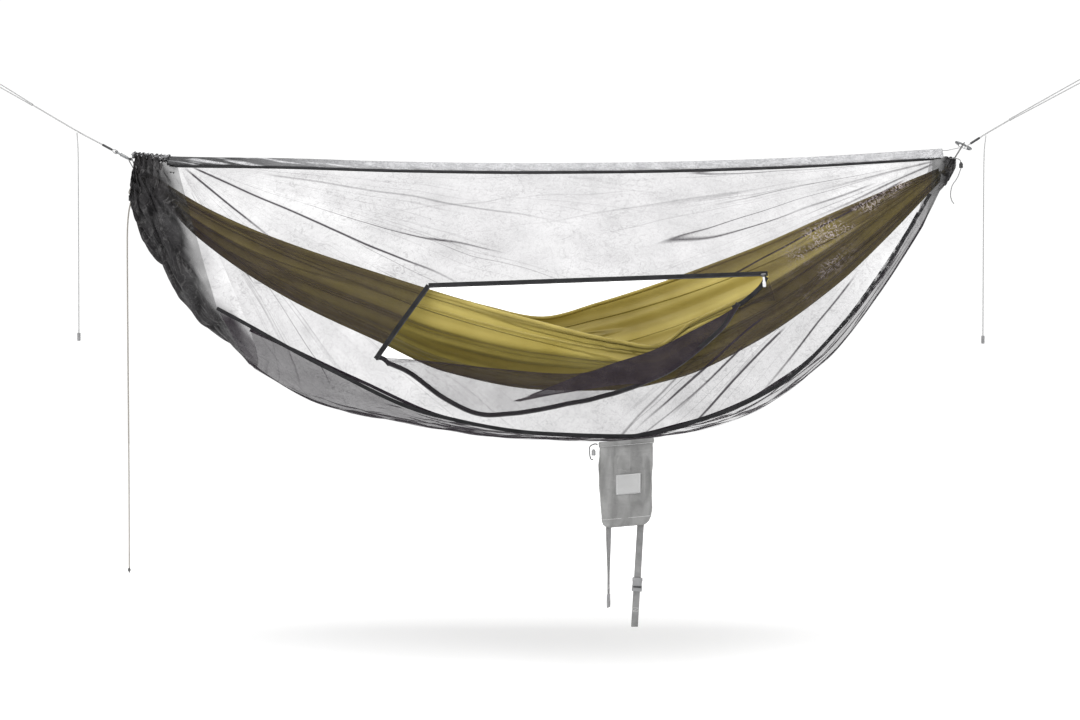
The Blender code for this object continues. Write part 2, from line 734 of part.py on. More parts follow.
def left_suspension():
    hinge_end = Vector((0.418, 0.0, -0.240))
    along = Vector((0.052, 0.0, -0.028)).normalized()
    frame = hook_frame("left", hinge_end, along, 0.0)
    carabiner("left", frame)
    carabiner_gate("left", frame)
    normal = along.cross(Vector((0.0, 1.0, 0.0)))
    bend = HOOK_ROD + EYE_CORD + 2 * GAP
    sling("left", (0.0, 0.0, 0.0), (0.140, 0.0, -0.083), (0.293, 0.0, -0.173),
          hinge_end + along * OUTER_BAR_X, normal, bend, 0.004)
    bundle_inner, bundle_outer = Vector((0.512, 0.0, -0.321)), Vector((0.484, 0.0, -0.3055))
    end_gather("left_end_gather", bundle_inner, bundle_outer)
    face = bundle_outer + (bundle_outer - bundle_inner).normalized() * EYE_TO_FITTING
    bar = hinge_end + along * INNER_BAR_X
    sideways = (face - bar).cross(Vector((0.0, 1.0, 0.0))).normalized()
    end_loop("left", bar, face, sideways, bend)


def right_suspension():
    """Here the carabiner hangs crosswise, and both cords pull on its spine."""
    hinge_end = Vector((3.1095, 0.0, -0.2065))
    along = Vector((0.0449, 0.0, -0.0221)).normalized()
    frame = hook_frame("right", hinge_end, along, -SPINE_Y)
    carabiner("right", frame)
    carabiner_gate("right", frame)
    across = Vector((0.0, 1.0, 0.0))
    bend = (HOOK_ROD + EYE_CORD + 2 * GAP) * 1.3
    sling("right", (SPAN, 0.0, RIGHT_ANCHOR_Z), (3.289, 0.0, -0.131), (3.202, 0.0, -0.182),
          hinge_end + along * 0.034, across, bend, -0.006)
    bundle_inner, bundle_outer = Vector((3.0670, 0.0, -0.3120)), Vector((3.0830, 0.0, -0.2900))
    end_gather("right_end_gather", bundle_inner, bundle_outer)
    face = bundle_outer + (bundle_outer - bundle_inner).normalized() * EYE_TO_FITTING
    end_loop("right", hinge_end + along * 0.022, face, across, bend)


# ---------------------------------------------------------------- cord locks
LOCK_BORE_DEPTH = 0.0125


def cord_lock(name, base, size, mat):
    """A barrel lock: a cup, a sprung button in it, and the coil under the button."""
    outer, bore, height = 0.0075 * size, 0.0052 * size, 0.0180 * size
    floor = height - LOCK_BORE_DEPTH * size
    cup = [(0.0, floor), (bore, floor), (bore, height), (outer * 0.9, height),
           (outer, height * 0.93), (outer, height * 0.08), (outer * 0.9, 0.0), (0.0, 0.0)]
    body = turned(name, cup, mat)
    spring_height = 0.0066 * size
    seat_z = floor + spring_height + 0.0006
    button_r = bore - 0.0004
    top = height + 0.0050 * size
    knob = [(0.0, top), (button_r * 0.85, top), (button_r, top - 0.0008), (button_r, seat_z),
            (0.0, seat_z)]
    button = turned(name + "_button", knob, mat)
    wire = 0.0004 * size
    ring = bore - wire - 0.0007
    turns, per_turn = 3, 9
    coil = []
    for k in range(turns * per_turn + 1):
        a = 2 * math.pi * k / per_turn
        z = floor + wire + GAP + (spring_height - 2 * wire - GAP) * k / (turns * per_turn)
        coil.append(Vector((ring * math.cos(a), ring * math.sin(a), z)))
    spring = tube(name + "_spring", coil, wire, spring_steel(), sides=1)
    for piece in (body, button, spring):
        piece.location = base


LEFT_LOCK = (0.474, -0.030, -0.400)
RIGHT_LOCK = (3.117, -0.020, -0.294)


def drawcords():
    cord_lock("left_cord_lock", LEFT_LOCK, 1.0, black_plastic())
    cord_lock("right_cord_lock", RIGHT_LOCK, 0.8, black_plastic())
    x, y, z = LEFT_LOCK
    end = Vector((0.470, -0.036, -1.566))
    hang = [(x, y, z - 0.0008), (0.468, -0.032, -0.430), (0.4645, -0.034, -0.474), (0.4635, -0.035, -0.555),
            (0.466, -0.036, -0.900), (0.469, -0.036, -1.250), end]
    tube("left_drawcord", route(hang, 44), DRAWCORD, beige_cord())
    knot_profile = [(0.0, 0.0), (0.0042, -0.0016), (0.0064, -0.0070), (0.0050, -0.0130),
                    (0.0, -0.0160)]
    knot = turned("left_drawcord_knot", knot_profile, black_plastic(), 12)
    knot.location = end - Vector((0.0, 0.0, 2 * GAP))
    x, y, z = RIGHT_LOCK
    hang = [(x, y, z - 0.0006), (3.104, -0.026, -0.325), (3.086, -0.030, -0.352), (3.081, -0.030, -0.380),
            (3.085, -0.030, -0.399), (3.092, -0.030, -0.409)]
    tube("right_drawcord", route(hang, 18), THIN_CORD, black_tape())


# ---------------------------------------------------------------- stuff sack
SACK_Y = -wall_y(SACK_CENTRE_X, seam_z(SACK_CENTRE_X)) - 0.0028


def sack_ring(depth, half_width, half_depth, count=24):
    row = []
    for k in range(count):
        a = 2 * math.pi * k / count
        c, s = math.cos(a), math.sin(a)
        x = half_width * math.copysign(abs(c) ** 0.45, c)
        y = half_depth * math.copysign(abs(s) ** 0.6, s)
        row.append(Vector((SACK_CENTRE_X + x, SACK_Y + y, SACK_TOP_Z - depth + SACK_SLOPE * x)))
    return row


def sack_pivot():
    return Vector((SACK_CENTRE_X, SACK_Y, SACK_TOP_Z))


def stuff_sack():
    w, d, h = SACK_WIDTH / 2, SACK_DEPTH / 2, SACK_HEIGHT
    stations = [(0.003, w - 0.002, 0.0058), (0.022, w - 0.0015, 0.0085), (0.060, w - 0.001, d * 0.72),
                (0.110, w, d * 0.95), (0.160, w - 0.001, d), (0.215, w - 0.003, d * 0.92),
                (h - 0.012, w - 0.008, d * 0.74), (h, w - 0.022, d * 0.45)]
    rows = [sack_ring(*station) for station in stations]
    sack = sheet("stuff_sack", rows, 0.0014, grey_nylon(), ring=True, cap_last=True)
    return set_origin(sack, sack_pivot())


def sack_hem():
    w = SACK_WIDTH / 2
    rows = [sack_ring(depth, w + 0.0012, 0.0092) for depth in (0.0, 0.0145)]
    return set_origin(sheet("sack_hem", rows, 0.0012, grey_nylon(), ring=True), sack_pivot())


def sack_patch():
    outline = [(-0.036, -0.029), (0.036, -0.029), (0.036, 0.029), (-0.036, 0.029)]
    patch = plate("sack_patch", outline, 0.001, silver_nylon())
    patch.rotation_euler = (math.radians(90), 0.0, 0.0)
    patch.location = (SACK_CENTRE_X + 0.004, SACK_Y - SACK_DEPTH / 2 - 0.0016, SACK_TOP_Z - 0.126)
    return patch


def strap(name, top, bottom, twist, count):
    """Webbing between two points, its width along X at the top and turned by twist further down."""
    top, bottom = Vector(top), Vector(bottom)
    centres, across = [], []
    for i in range(count + 1):
        t = i / count
        turn = twist * min(t / 0.35, 1.0)
        centres.append(top.lerp(bottom, t))
        across.append(Vector((math.cos(turn), math.sin(turn), 0.0)) * 0.0100)
    return set_origin(band(name, centres, across, 0.0016, grey_webbing()), top)


LEFT_STRAP_TOP = (1.976, SACK_Y, -1.4035)
LEFT_STRAP_END = (1.976, SACK_Y, -1.590)
RIGHT_STRAP_TOP = (2.070, SACK_Y, -1.3960)
RIGHT_STRAP_END = (2.052, SACK_Y, -1.688)


def male_buckle():
    """Side-release male half, edge on to the front: a bar end with two prongs and a guide."""
    outline = [(-0.0110, 0.0), (0.0110, 0.0), (0.0110, -0.0150), (0.0125, -0.0230),
               (0.0100, -0.0400), (0.0078, -0.0400), (0.0078, -0.0210), (0.0022, -0.0210),
               (0.0022, -0.0360), (-0.0022, -0.0360), (-0.0022, -0.0210), (-0.0078, -0.0210),
               (-0.0078, -0.0400), (-0.0100, -0.0400), (-0.0125, -0.0230), (-0.0110, -0.0150)]
    buckle = plate("male_buckle", outline, 0.0050, grey_plastic())
    buckle.rotation_euler = (math.radians(90), 0.0, math.radians(90))
    buckle.location = (LEFT_STRAP_END[0], LEFT_STRAP_END[1], LEFT_STRAP_END[2] - 0.0012)
    return buckle


def female_buckle():
    """Side-release female half, threaded on the right strap: four walls round a slot."""
    top, end = Vector(RIGHT_STRAP_TOP), Vector(RIGHT_STRAP_END)
    down = (end - top).normalized()
    centre = top + down * 0.168
    frame = frame_empty("buckle_track", centre, (0.0, math.atan2(-down.x, -down.z), 0.0))
    hole = [(-0.0113, -0.0022), (0.0113, -0.0022), (0.0113, 0.0022), (-0.0113, 0.0022)]
    rim = [(-0.0150, -0.0060), (0.0150, -0.0060), (0.0150, 0.0060), (-0.0150, 0.0060)]
    buckle = plate("female_buckle", rim, 0.040, grey_plastic())
    slot = buckle.data.splines.new("POLY")
    slot.points.add(3)
    for point, corner in zip(slot.points, hole):
        point.co = (*corner, 0.0, 1.0)
    slot.use_cyclic_u = True
    return seat(buckle, frame)


def sack_cords():
    y = SACK_Y
    cord_lock("sack_cord_lock", (1.932, y, -1.186), 0.8, grey_plastic())
    loop = [(1.9435, y - 0.003, -1.1545), (1.936, y - 0.004, -1.152), (1.921, y - 0.003, -1.160),
            (1.9205, y, -1.180), (1.924, y, -1.196), (1.9315, y, -1.1985)]
    tube("sack_drawcord", route(loop, 14), THIN_CORD, grey_cord())


def sack_and_straps():
    stuff_sack()
    sack_hem()
    sack_patch()
    sack_cords()
    strap("left_strap", LEFT_STRAP_TOP, LEFT_STRAP_END, math.radians(90), 10)
    male_buckle()
    strap("right_strap", RIGHT_STRAP_TOP, RIGHT_STRAP_END, 0.0, 6)
    female_buckle()


# ---------------------------------------------------------------- build
def net():
    net_near_panel()
    net_far_panel()
    net_bottom_panel()
    seam_tape("seam_tape_near", -1)
    seam_tape("seam_tape_far", 1)
    ridge_tape("ridge_tape_near", -1)
    ridge_tape("ridge_tape_far", 1)
    ridge_cover()
    ridge_gather()
    ridge_line()
    net_left_bunch()
    net_right_gather()


def door():
    door_zip_top()
    door_zip_side()
    frame = flap_frame()
    door_flap(frame)
    flap_zip_tape(frame)
    zip_slider(slider_frame())
    zip_pull()


def main():
    clear_scene()
    left_suspension()
    right_suspension()
    hammock_body()
    net()
    door()
    drawcords()
    sack_and_straps()


main()
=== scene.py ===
"""Looks of the camping hammock: cloth, cords, fittings, materials, light and camera.

Metres, +Z up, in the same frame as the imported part: the origin is the left anchor point, +X runs to the
right anchor, and +Y points away from the side with the door.
"""
import math

import bmesh
import bpy
import numpy as np
from mathutils import Matrix, Vector, geometry, noise


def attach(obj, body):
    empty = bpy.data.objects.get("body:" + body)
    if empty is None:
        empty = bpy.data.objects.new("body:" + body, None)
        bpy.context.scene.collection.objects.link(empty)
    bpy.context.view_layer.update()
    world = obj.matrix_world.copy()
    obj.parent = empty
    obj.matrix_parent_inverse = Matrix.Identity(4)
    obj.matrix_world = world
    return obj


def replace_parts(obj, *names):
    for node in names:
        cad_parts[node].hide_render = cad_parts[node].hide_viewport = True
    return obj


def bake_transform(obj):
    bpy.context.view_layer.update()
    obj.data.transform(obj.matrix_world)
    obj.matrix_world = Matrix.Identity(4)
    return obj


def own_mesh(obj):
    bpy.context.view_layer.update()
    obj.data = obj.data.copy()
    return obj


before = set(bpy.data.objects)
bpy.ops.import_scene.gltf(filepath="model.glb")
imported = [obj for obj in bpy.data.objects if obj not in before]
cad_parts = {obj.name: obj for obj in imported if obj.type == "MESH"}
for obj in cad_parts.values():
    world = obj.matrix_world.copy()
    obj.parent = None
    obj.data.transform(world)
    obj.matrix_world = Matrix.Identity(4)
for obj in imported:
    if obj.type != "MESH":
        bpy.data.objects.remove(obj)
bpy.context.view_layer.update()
ROOT = "hammock_and_net"
FORE_AND_AFT = Vector((0.0, 1.0, 0.0))

# ---------------------------------------------------------------- the part's own lines
# Those of its CAD, but for a few centimetres at the hammock's ends, the ridge's dip and the far seam. Each
# list holds the given (x, z) points of one smooth line, or (x, size) where a width changes with x.
LEFT_ANCHOR = (0.0, 0.0, 0.0)
RIGHT_ANCHOR = (3.55, 0.0, 0.012)
MIDDLE_X = 1.775
NET_DROP = 0.88
RIDGE_COVER_HEIGHT = 0.026
HAMMOCK_HALF_WIDTH = 0.30
HAMMOCK_CLEARANCE = 0.012
HAMMOCK_LEFT = 0.520
HAMMOCK_RIGHT = 3.054
RIDGE = [(0.44, -0.238), (0.62, -0.254), (0.95, -0.259), (1.33, -0.270), (1.70, -0.275), (2.03, -0.273),
         (2.55, -0.259), (3.10, -0.226)]
SEAM = [(0.75, -0.726), (0.87, -0.787), (1.15, -0.932), (1.46, -1.066), (1.78, -1.121),
        (2.03, -1.129), (2.27, -1.074), (2.49, -0.972), (2.67, -0.815), (2.88, -0.560), (3.05, -0.320)]
FLOOR_LINE = [(0.80, -0.895), (1.08, -1.050), (1.34, -1.105), (1.65, -1.150), (1.94, -1.160),
              (2.20, -1.142), (2.40, -1.092), (2.68, -0.912), (2.86, -0.690), (3.05, -0.400)]
NET_HALF_WIDTH = [(0.56, 0.24), (0.87, 0.34), (1.35, 0.42), (2.45, 0.415), (2.67, 0.35),
                  (2.88, 0.28), (3.08, 0.15)]
NEAR_RIM = [(0.52, -0.306), (0.67, -0.404), (1.05, -0.566), (1.42, -0.687), (1.75, -0.782),
            (2.02, -0.846), (2.12, -0.860), (2.23, -0.790), (2.47, -0.675), (3.062, -0.296)]
FAR_RIM = [(0.52, -0.306), (0.70, -0.416), (0.90, -0.503), (1.30, -0.634), (1.60, -0.722), (1.78, -0.757),
           (1.97, -0.710), (2.47, -0.538), (2.79, -0.400), (3.062, -0.288)]
KEEL = [(0.52, -0.335), (0.68, -0.506), (0.95, -0.688), (1.27, -0.840), (1.48, -0.934),
        (1.78, -0.992), (2.01, -0.996), (2.21, -0.958), (2.45, -0.847), (2.71, -0.666),
        (2.88, -0.512), (3.062, -0.325)]
LEFT_EDGE = (0.604, 0.386)      # x at the ridge, x per metre of depth
RIGHT_EDGE = (3.036, -0.190)
DOOR_CORNER = (1.440, -0.682)
DOOR_TOP_END = (2.468, -0.645)
FLAP_LEFT = (1.315, -0.912)
FLAP_RIGHT = (2.400, -0.725)
FLAP_LEAN = 0.50
FLAP_STANDOFF = 0.014
PANEL_LEFT = 0.618              # the ends of the walls' top edges, under the ridge strip
PANEL_RIGHT = 3.028
STRIP_DEPTH = 0.0325            # how far the ridge strip reaches down each side
TAPE_WIDTH = 0.011
TAPE_THICKNESS = 0.0011
RIDGE_TAPE_WIDTH = 0.0078
RIDGE_TAPE_DROP = {-1: 0.0345, 1: 0.0280}
ZIP_TAPE_WIDTH = 0.014
ZIP_COIL = 0.0015
STITCH = 0.0004
# How much longer the far wall hangs than the near one.
FAR_SEAM_DROP = [(0.80, 0.055), (1.20, 0.043), (1.78, 0.042), (2.20, 0.050), (2.56, 0.084), (2.70, 0.114),
                 (2.82, 0.120), (2.90, 0.108), (3.00, 0.050), (3.05, 0.010)]
SACK_CENTRE_X = 2.028
SACK_TOP_Z = -1.141
SACK_WIDTH = 0.160
SACK_HEIGHT = 0.252
SACK_DEPTH = 0.058
SACK_SLOPE = 0.085

LEFT_CORNER = (0.600, -0.262)       # where the net's folds fan out from
RIGHT_CORNER = (3.070, -0.262)


# ---------------------------------------------------------------- small tools
def height_along(points):
    """A smooth function through (x, value) points that never overshoots them."""
    xs = np.array([p[0] for p in points])
    ys = np.array([p[1] for p in points])
    steps = np.diff(ys) / np.diff(xs)
    slopes = np.concatenate([[steps[0]], np.zeros(len(xs) - 2), [steps[-1]]])
    for i in range(1, len(xs) - 1):
        before, after = steps[i - 1], steps[i]
        if before * after > 0:
            slopes[i] = 2.0 * before * after / (before + after)

    def value(x):
        i = int(np.clip(np.searchsorted(xs, x) - 1, 0, len(xs) - 2))
        width = xs[i + 1] - xs[i]
        t = (x - xs[i]) / width
        if t < 0.0:
            return float(ys[0] + slopes[0] * (x - xs[0]))
        if t > 1.0:
            return float(ys[-1] + slopes[-1] * (x - xs[-1]))
        return float((2 * t**3 - 3 * t**2 + 1) * ys[i] + (t**3 - 2 * t**2 + t) * width * slopes[i]
                     + (3 * t**2 - 2 * t**3) * ys[i + 1] + (t**3 - t**2) * width * slopes[i + 1])

    return value


ridge_z = height_along(RIDGE)
seam_z = height_along(SEAM)
floor_z = height_along(FLOOR_LINE)
net_half_width = height_along(NET_HALF_WIDTH)
near_rim_z = height_along(NEAR_RIM)
far_rim_z = height_along(FAR_RIM)
keel_z = height_along(KEEL)
far_seam_drop = height_along(FAR_SEAM_DROP)


def smooth(t):
    t = min(max(t, 0.0), 1.0)
    return t * t * (3 - 2 * t)


def seam_line(x, side):
    """The height of the seam between a wall and the net's floor."""
    if side < 0:
        return seam_z(x)
    return seam_z(x) - max(0.0, far_seam_drop(x))


def ripple(x, y, seed):
    """Soft noise between about -1 and 1."""
    return noise.noise(Vector((x, y, seed)))


def crest(value, sharp):
    """1 on a fold's crest and 0 away from it, from a noise value that is 0 on the crest."""
    return max(0.0, 1.0 - abs(value) * sharp)


def evenly(start, end, count):
    """Plain numbers at even steps, both ends included."""
    return [float(v) for v in np.linspace(start, end, count)]


def circle(count):
    """The cosine and sine of even steps round a circle."""
    angles = [2 * math.pi * k / count for k in range(count)]
    return [(math.cos(a), math.sin(a)) for a in angles]


def rounded(value, power):
    """Pushes a cosine or sine outwards, which turns a circle into a box with soft corners."""
    return math.copysign(abs(value) ** power, value)


def mixed_between(start, end, share):
    return start + (end - start) * share


def spread(points, count):
    """Evenly spaced points on a polyline."""
    p = np.array([tuple(q) for q in points], float)
    lengths = np.concatenate([[0.0], np.cumsum(np.linalg.norm(np.diff(p, axis=0), axis=1))])
    at = np.linspace(0.0, lengths[-1], count)
    return [Vector([float(np.interp(s, lengths, p[:, k])) for k in range(p.shape[1])]) for s in at]


def route(points, count):
    """Evenly spaced points on a smooth curve through given points."""
    p = [Vector(q) for q in points]
    p = [2 * p[0] - p[1]] + p + [2 * p[-1] - p[-2]]
    dense = []
    for i in range(1, len(p) - 2):
        for k in range(24):
            t = k / 24
            dense.append(0.5 * (2 * p[i] + (p[i + 1] - p[i - 1]) * t
                                + (2 * p[i - 1] - 5 * p[i] + 4 * p[i + 1] - p[i + 2]) * t**2
                                + (3 * p[i] - p[i - 1] - 3 * p[i + 1] + p[i + 2]) * t**3))
    dense.append(p[-2])
    return spread(dense, count)


def link(obj, mat):
    """Puts a new piece in the scene with its material."""
    obj.data.materials.clear()
    obj.data.materials.append(mat)
    bpy.context.scene.collection.objects.link(obj)
    return obj


def mesh_piece(name, verts, faces, mat):
    mesh = bpy.data.meshes.new(name)
    mesh.from_pydata([tuple(v) for v in verts], [], faces)
    mesh.validate()
    mesh.shade_smooth()
    return link(bpy.data.objects.new(name, mesh), mat)


def loft(name, rows, mat, ring=False, cap=False):
    """Cloth through rows of points. A ring closes each row on itself."""
    columns = len(rows[0])
    verts = [v for row in rows for v in row]
    faces = []
    for r in range(len(rows) - 1):
        for c in range(columns if ring else columns - 1):
            d = (c + 1) % columns
            faces.append((r * columns + c, r * columns + d, (r + 1) * columns + d, (r + 1) * columns + c))
    if cap:
        faces.append(tuple((len(rows) - 1) * columns + c for c in range(columns)))
    return mesh_piece(name, verts, faces, mat)


def set_values(obj, name, values):
    """Stores one number a vertex, which the cloth's material reads."""
    attribute = obj.data.attributes.new(name, "FLOAT", "POINT")
    attribute.data.foreach_set("value", np.array(values, np.float32))


def thicken(obj, thickness):
    """Gives open cloth its thickness for good."""
    solid = obj.modifiers.new("thickness", "SOLIDIFY")
    solid.thickness = thickness
    solid.offset = 0.0
    return bake(obj)


def bake(obj):
    """Replaces a piece's modifiers by their result."""
    depsgraph = bpy.context.evaluated_depsgraph_get()
    result = bpy.data.meshes.new_from_object(obj.evaluated_get(depsgraph))
    obj.modifiers.clear()
    obj.data = result
    return obj


def cord_piece(name, points, radius, mat, closed=False, solid=False):
    curve = bpy.data.curves.new(name, "CURVE")
    curve.dimensions = "3D"
    curve.bevel_depth = radius
    curve.bevel_resolution = 4
    curve.use_fill_caps = not closed
    spline = curve.splines.new("POLY")
    spline.points.add(len(points) - 1)
    for place, point in zip(spline.points, points):
        place.co = (*point, 1.0)
    spline.use_cyclic_u = closed
    spline.use_smooth = True
    if solid:
        pipe = bpy.data.objects.new(name + "_path", curve)
        mesh = bpy.data.meshes.new_from_object(pipe)
        bpy.data.objects.remove(pipe)
        return link(bpy.data.objects.new(name, mesh), mat)
    return link(bpy.data.objects.new(name, curve), mat)


def band(name, centres, across, thickness, mat, steps=4):
    """A flat strip: centre points and, for each, the vector from its centre to its edge."""
    shares = evenly(-1.0, 1.0, steps + 1)
    rows = [[c + a * s for s in shares] for c, a in zip(centres, across)]
    return thicken(loft(name, rows, mat), thickness)


def lathe(name, profile, base, mat, steps=28):
    """A turned solid about Z at base. The profile runs from its top to its bottom, as (r, z)."""
    bm = bmesh.new()
    rings = []
    for r, z in profile:
        if r < 1e-6:
            rings.append([bm.verts.new((0.0, 0.0, z))])
        else:
            rings.append([bm.verts.new((r * c, r * s, z)) for c, s in circle(steps)])
    for upper, lower in zip(rings, rings[1:]):
        for k in range(steps):
            j = (k + 1) % steps
            corners = [upper[k % len(upper)], upper[j % len(upper)], lower[j % len(lower)],
                       lower[k % len(lower)]]
            unique = list(dict.fromkeys(corners))
            if len(unique) > 2:
                bm.faces.new(unique)
    bmesh.ops.recalc_face_normals(bm, faces=bm.faces)
    mesh = bpy.data.meshes.new(name)
    bm.to_mesh(mesh)
    bm.free()
    mesh.transform(Matrix.Translation(Vector(base)))
    mesh.shade_smooth()
    return link(bpy.data.objects.new(name, mesh), mat)


def moulded(name, outline, thickness, turn, mat, bevel=0.0008):
    """A flat outline with thickness and rounded edges, placed by a matrix."""
    bm = bmesh.new()
    front = [bm.verts.new((x, y, thickness / 2)) for x, y in outline]
    back = [bm.verts.new((x, y, -thickness / 2)) for x, y in outline]
    bm.faces.new(front)
    bm.faces.new(list(reversed(back)))
    for k in range(len(outline)):
        j = (k + 1) % len(outline)
        bm.faces.new((front[j], front[k], back[k], back[j]))
    bmesh.ops.recalc_face_normals(bm, faces=bm.faces)
    bmesh.ops.bevel(bm, geom=list(bm.edges), offset=bevel, segments=3, affect="EDGES",
                    profile=0.6, clamp_overlap=True)
    mesh = bpy.data.meshes.new(name)
    bm.to_mesh(mesh)
    bm.free()
    mesh.transform(turn)
    mesh.shade_smooth()
    return link(bpy.data.objects.new(name, mesh), mat)


# ---------------------------------------------------------------- materials
WHITE = (1.0, 1.0, 1.0)


class Mixer:
    """A material's node tree, built by short calls."""

    def __init__(self, name):
        self.material = bpy.data.materials.new(name)
        self.material.use_nodes = True
        self.tree = self.material.node_tree
        self.shader = self.tree.nodes["Principled BSDF"]
        self.place = self.add("ShaderNodeTexCoord").outputs["Object"]

    def add(self, kind, **settings):
        node = self.tree.nodes.new(kind)
        for key, value in settings.items():
            setattr(node, key, value)
        return node

    def join(self, source, target):
        self.tree.links.new(source, target)

    def set(self, **values):
        for key, value in values.items():
            self.shader.inputs[key.replace("_", " ")].default_value = value

    def stretched(self, scale, turn=(0.0, 0.0, 0.0)):
        mapping = self.add("ShaderNodeMapping")
        mapping.inputs["Scale"].default_value = scale
        mapping.inputs["Rotation"].default_value = turn
        self.join(self.place, mapping.inputs["Vector"])
        return mapping.outputs["Vector"]

    def noise(self, scale, detail=3.0, vector=None, distortion=0.0):
        node = self.add("ShaderNodeTexNoise")
        node.inputs["Scale"].default_value = scale
        node.inputs["Detail"].default_value = detail
        node.inputs["Distortion"].default_value = distortion
        self.join(vector or self.place, node.inputs["Vector"])
        return node.outputs["Fac"]

    def wave(self, scale, axis, vector=None):
        node = self.add("ShaderNodeTexWave", wave_type="BANDS", bands_direction=axis)
        node.inputs["Scale"].default_value = scale
        self.join(vector or self.place, node.inputs["Vector"])
        return node.outputs["Fac"]

    def fill(self, node, values):
        """Gives a node's inputs plain numbers or the outputs of other nodes."""
        for socket, value in zip(node.inputs, values):
            if isinstance(value, (int, float)):
                socket.default_value = value
            else:
                self.join(value, socket)
        return node.outputs[0]

    def maths(self, operation, a, b=0.0, c=0.0):
        return self.fill(self.add("ShaderNodeMath", operation=operation), (a, b, c))

    def plus(self, a, b):
        return self.maths("ADD", a, b)

    def minus(self, a, b):
        return self.maths("SUBTRACT", a, b)

    def times(self, a, b):
        return self.maths("MULTIPLY", a, b)

    def times_plus(self, a, b, c):
        return self.maths("MULTIPLY_ADD", a, b, c)

    def apart(self, a, b):
        """The difference between two values, without its sign."""
        return self.maths("ABSOLUTE", self.minus(a, b))

    def limited(self, value, top):
        return self.maths("MAXIMUM", self.maths("MINIMUM", value, top), 0.0)

    def parts(self, vector=None):
        """The x, y and z of a place."""
        node = self.add("ShaderNodeSeparateXYZ")
        self.join(vector or self.place, node.inputs["Vector"])
        return node.outputs["X"], node.outputs["Y"], node.outputs["Z"]

    def joined(self, x, y, z):
        return self.fill(self.add("ShaderNodeCombineXYZ"), (x, y, z))

    def creases(self, value, width):
        """Thin lines where a noise value crosses one half."""
        return self.span(self.apart(value, 0.5), 0.0, width, 1.0, 0.0)

    def window(self, source, start, full, last, end):
        """1 between full and last, down to 0 at start and end."""
        return self.times(self.span(source, start, full, 0.0, 1.0), self.span(source, end, last, 0.0, 1.0))

    def mixed(self, colour, other, factor):
        """A colour with some of another over it."""
        node = self.add("ShaderNodeMix", data_type="RGBA")
        self.join(factor, node.inputs[0])
        self.join(colour, node.inputs[6])
        node.inputs[7].default_value = (*other, 1.0)
        return node.outputs[2]

    def value(self, name):
        """A number that the mesh stores at each vertex."""
        return self.add("ShaderNodeAttribute", attribute_name=name).outputs["Fac"]

    def ramp(self, source, low, high, dark, light):
        """Colours between two stops."""
        node = self.add("ShaderNodeValToRGB")
        first, last = node.color_ramp.elements
        first.position, last.position = low, high
        first.color, last.color = (*dark, 1.0), (*light, 1.0)
        self.join(source, node.inputs["Fac"])
        return node.outputs["Color"]

    def mottled(self, scale, detail, dark, light):
        """A colour that drifts between two tones."""
        return self.ramp(self.noise(scale, detail), 0.3, 0.7, dark, light)

    def span(self, source, low, high, a, b):
        """Turns the range from low to high into the one from a to b, and stops at its ends."""
        node = self.add("ShaderNodeMapRange")
        for key, value in zip(("From Min", "From Max", "To Min", "To Max"), (low, high, a, b)):
            node.inputs[key].default_value = value
        self.join(source, node.inputs["Value"])
        return node.outputs["Result"]

    def tint(self, colour_a, colour_b, factor):
        """A colour darkened by another."""
        node = self.add("ShaderNodeMix", data_type="RGBA", blend_type="MULTIPLY")
        node.inputs[0].default_value = factor
        self.join(colour_a, node.inputs[6])
        self.join(colour_b, node.inputs[7])
        return node.outputs[2]

    def bump(self, height, strength, distance, below=None):
        node = self.add("ShaderNodeBump")
        node.inputs["Strength"].default_value = strength
        node.inputs["Distance"].default_value = distance
        self.join(height, node.inputs["Height"])
        if below is not None:
            self.join(below, node.inputs["Normal"])
        return node.outputs["Normal"]

    def ripstop(self, below):
        """The fine checked weave of ripstop cloth."""
        checks = self.maths("MAXIMUM", self.wave(62.0, "X"), self.wave(62.0, "Z"))
        return self.bump(checks, 0.05, 0.0006, below)

    def finish(self, colour=None, normal=None, roughness=None, alpha=None):
        for source, name in ((colour, "Base Color"), (normal, "Normal"), (roughness, "Roughness"),
                             (alpha, "Alpha")):
            if source is not None:
                self.join(source, self.shader.inputs[name])
        return self.material


def nylon(name, dark, light, sheen=0.25, rough=0.5, crinkle=0.5, hanging=0.0):
    """Thin ripstop cloth: soft tone changes, crinkles and a fine checked weave, and folds that hang down,
    with painted shade in their hollows.
    """
    m = Mixer(name)
    m.set(Sheen_Weight=sheen, Sheen_Roughness=0.4, Specular_IOR_Level=0.4)
    colour = m.ramp(m.noise(9.0, 5.0, distortion=0.6), 0.3, 0.7, dark, light)
    crinkles = m.noise(46.0, 6.0, m.stretched((0.55, 1.0, 1.2)), distortion=0.8)
    soft = m.bump(crinkles, crinkle, 0.004)
    if hanging:
        drop = m.noise(26.0, 3.0, m.stretched((1.0, 1.0, 0.16)), 0.9)
        # Painted shade: the colour darkens in the hollows of the hanging folds.
        shade = m.ramp(drop, 0.36, 0.62, (0.62, 0.62, 0.62), WHITE)
        colour = m.tint(colour, shade, hanging)
        soft = m.bump(drop, hanging, 0.012, soft)
    roughness = m.span(crinkles, 0.3, 0.7, rough - 0.06, rough + 0.08)
    return m.finish(colour, m.ripstop(soft), roughness)


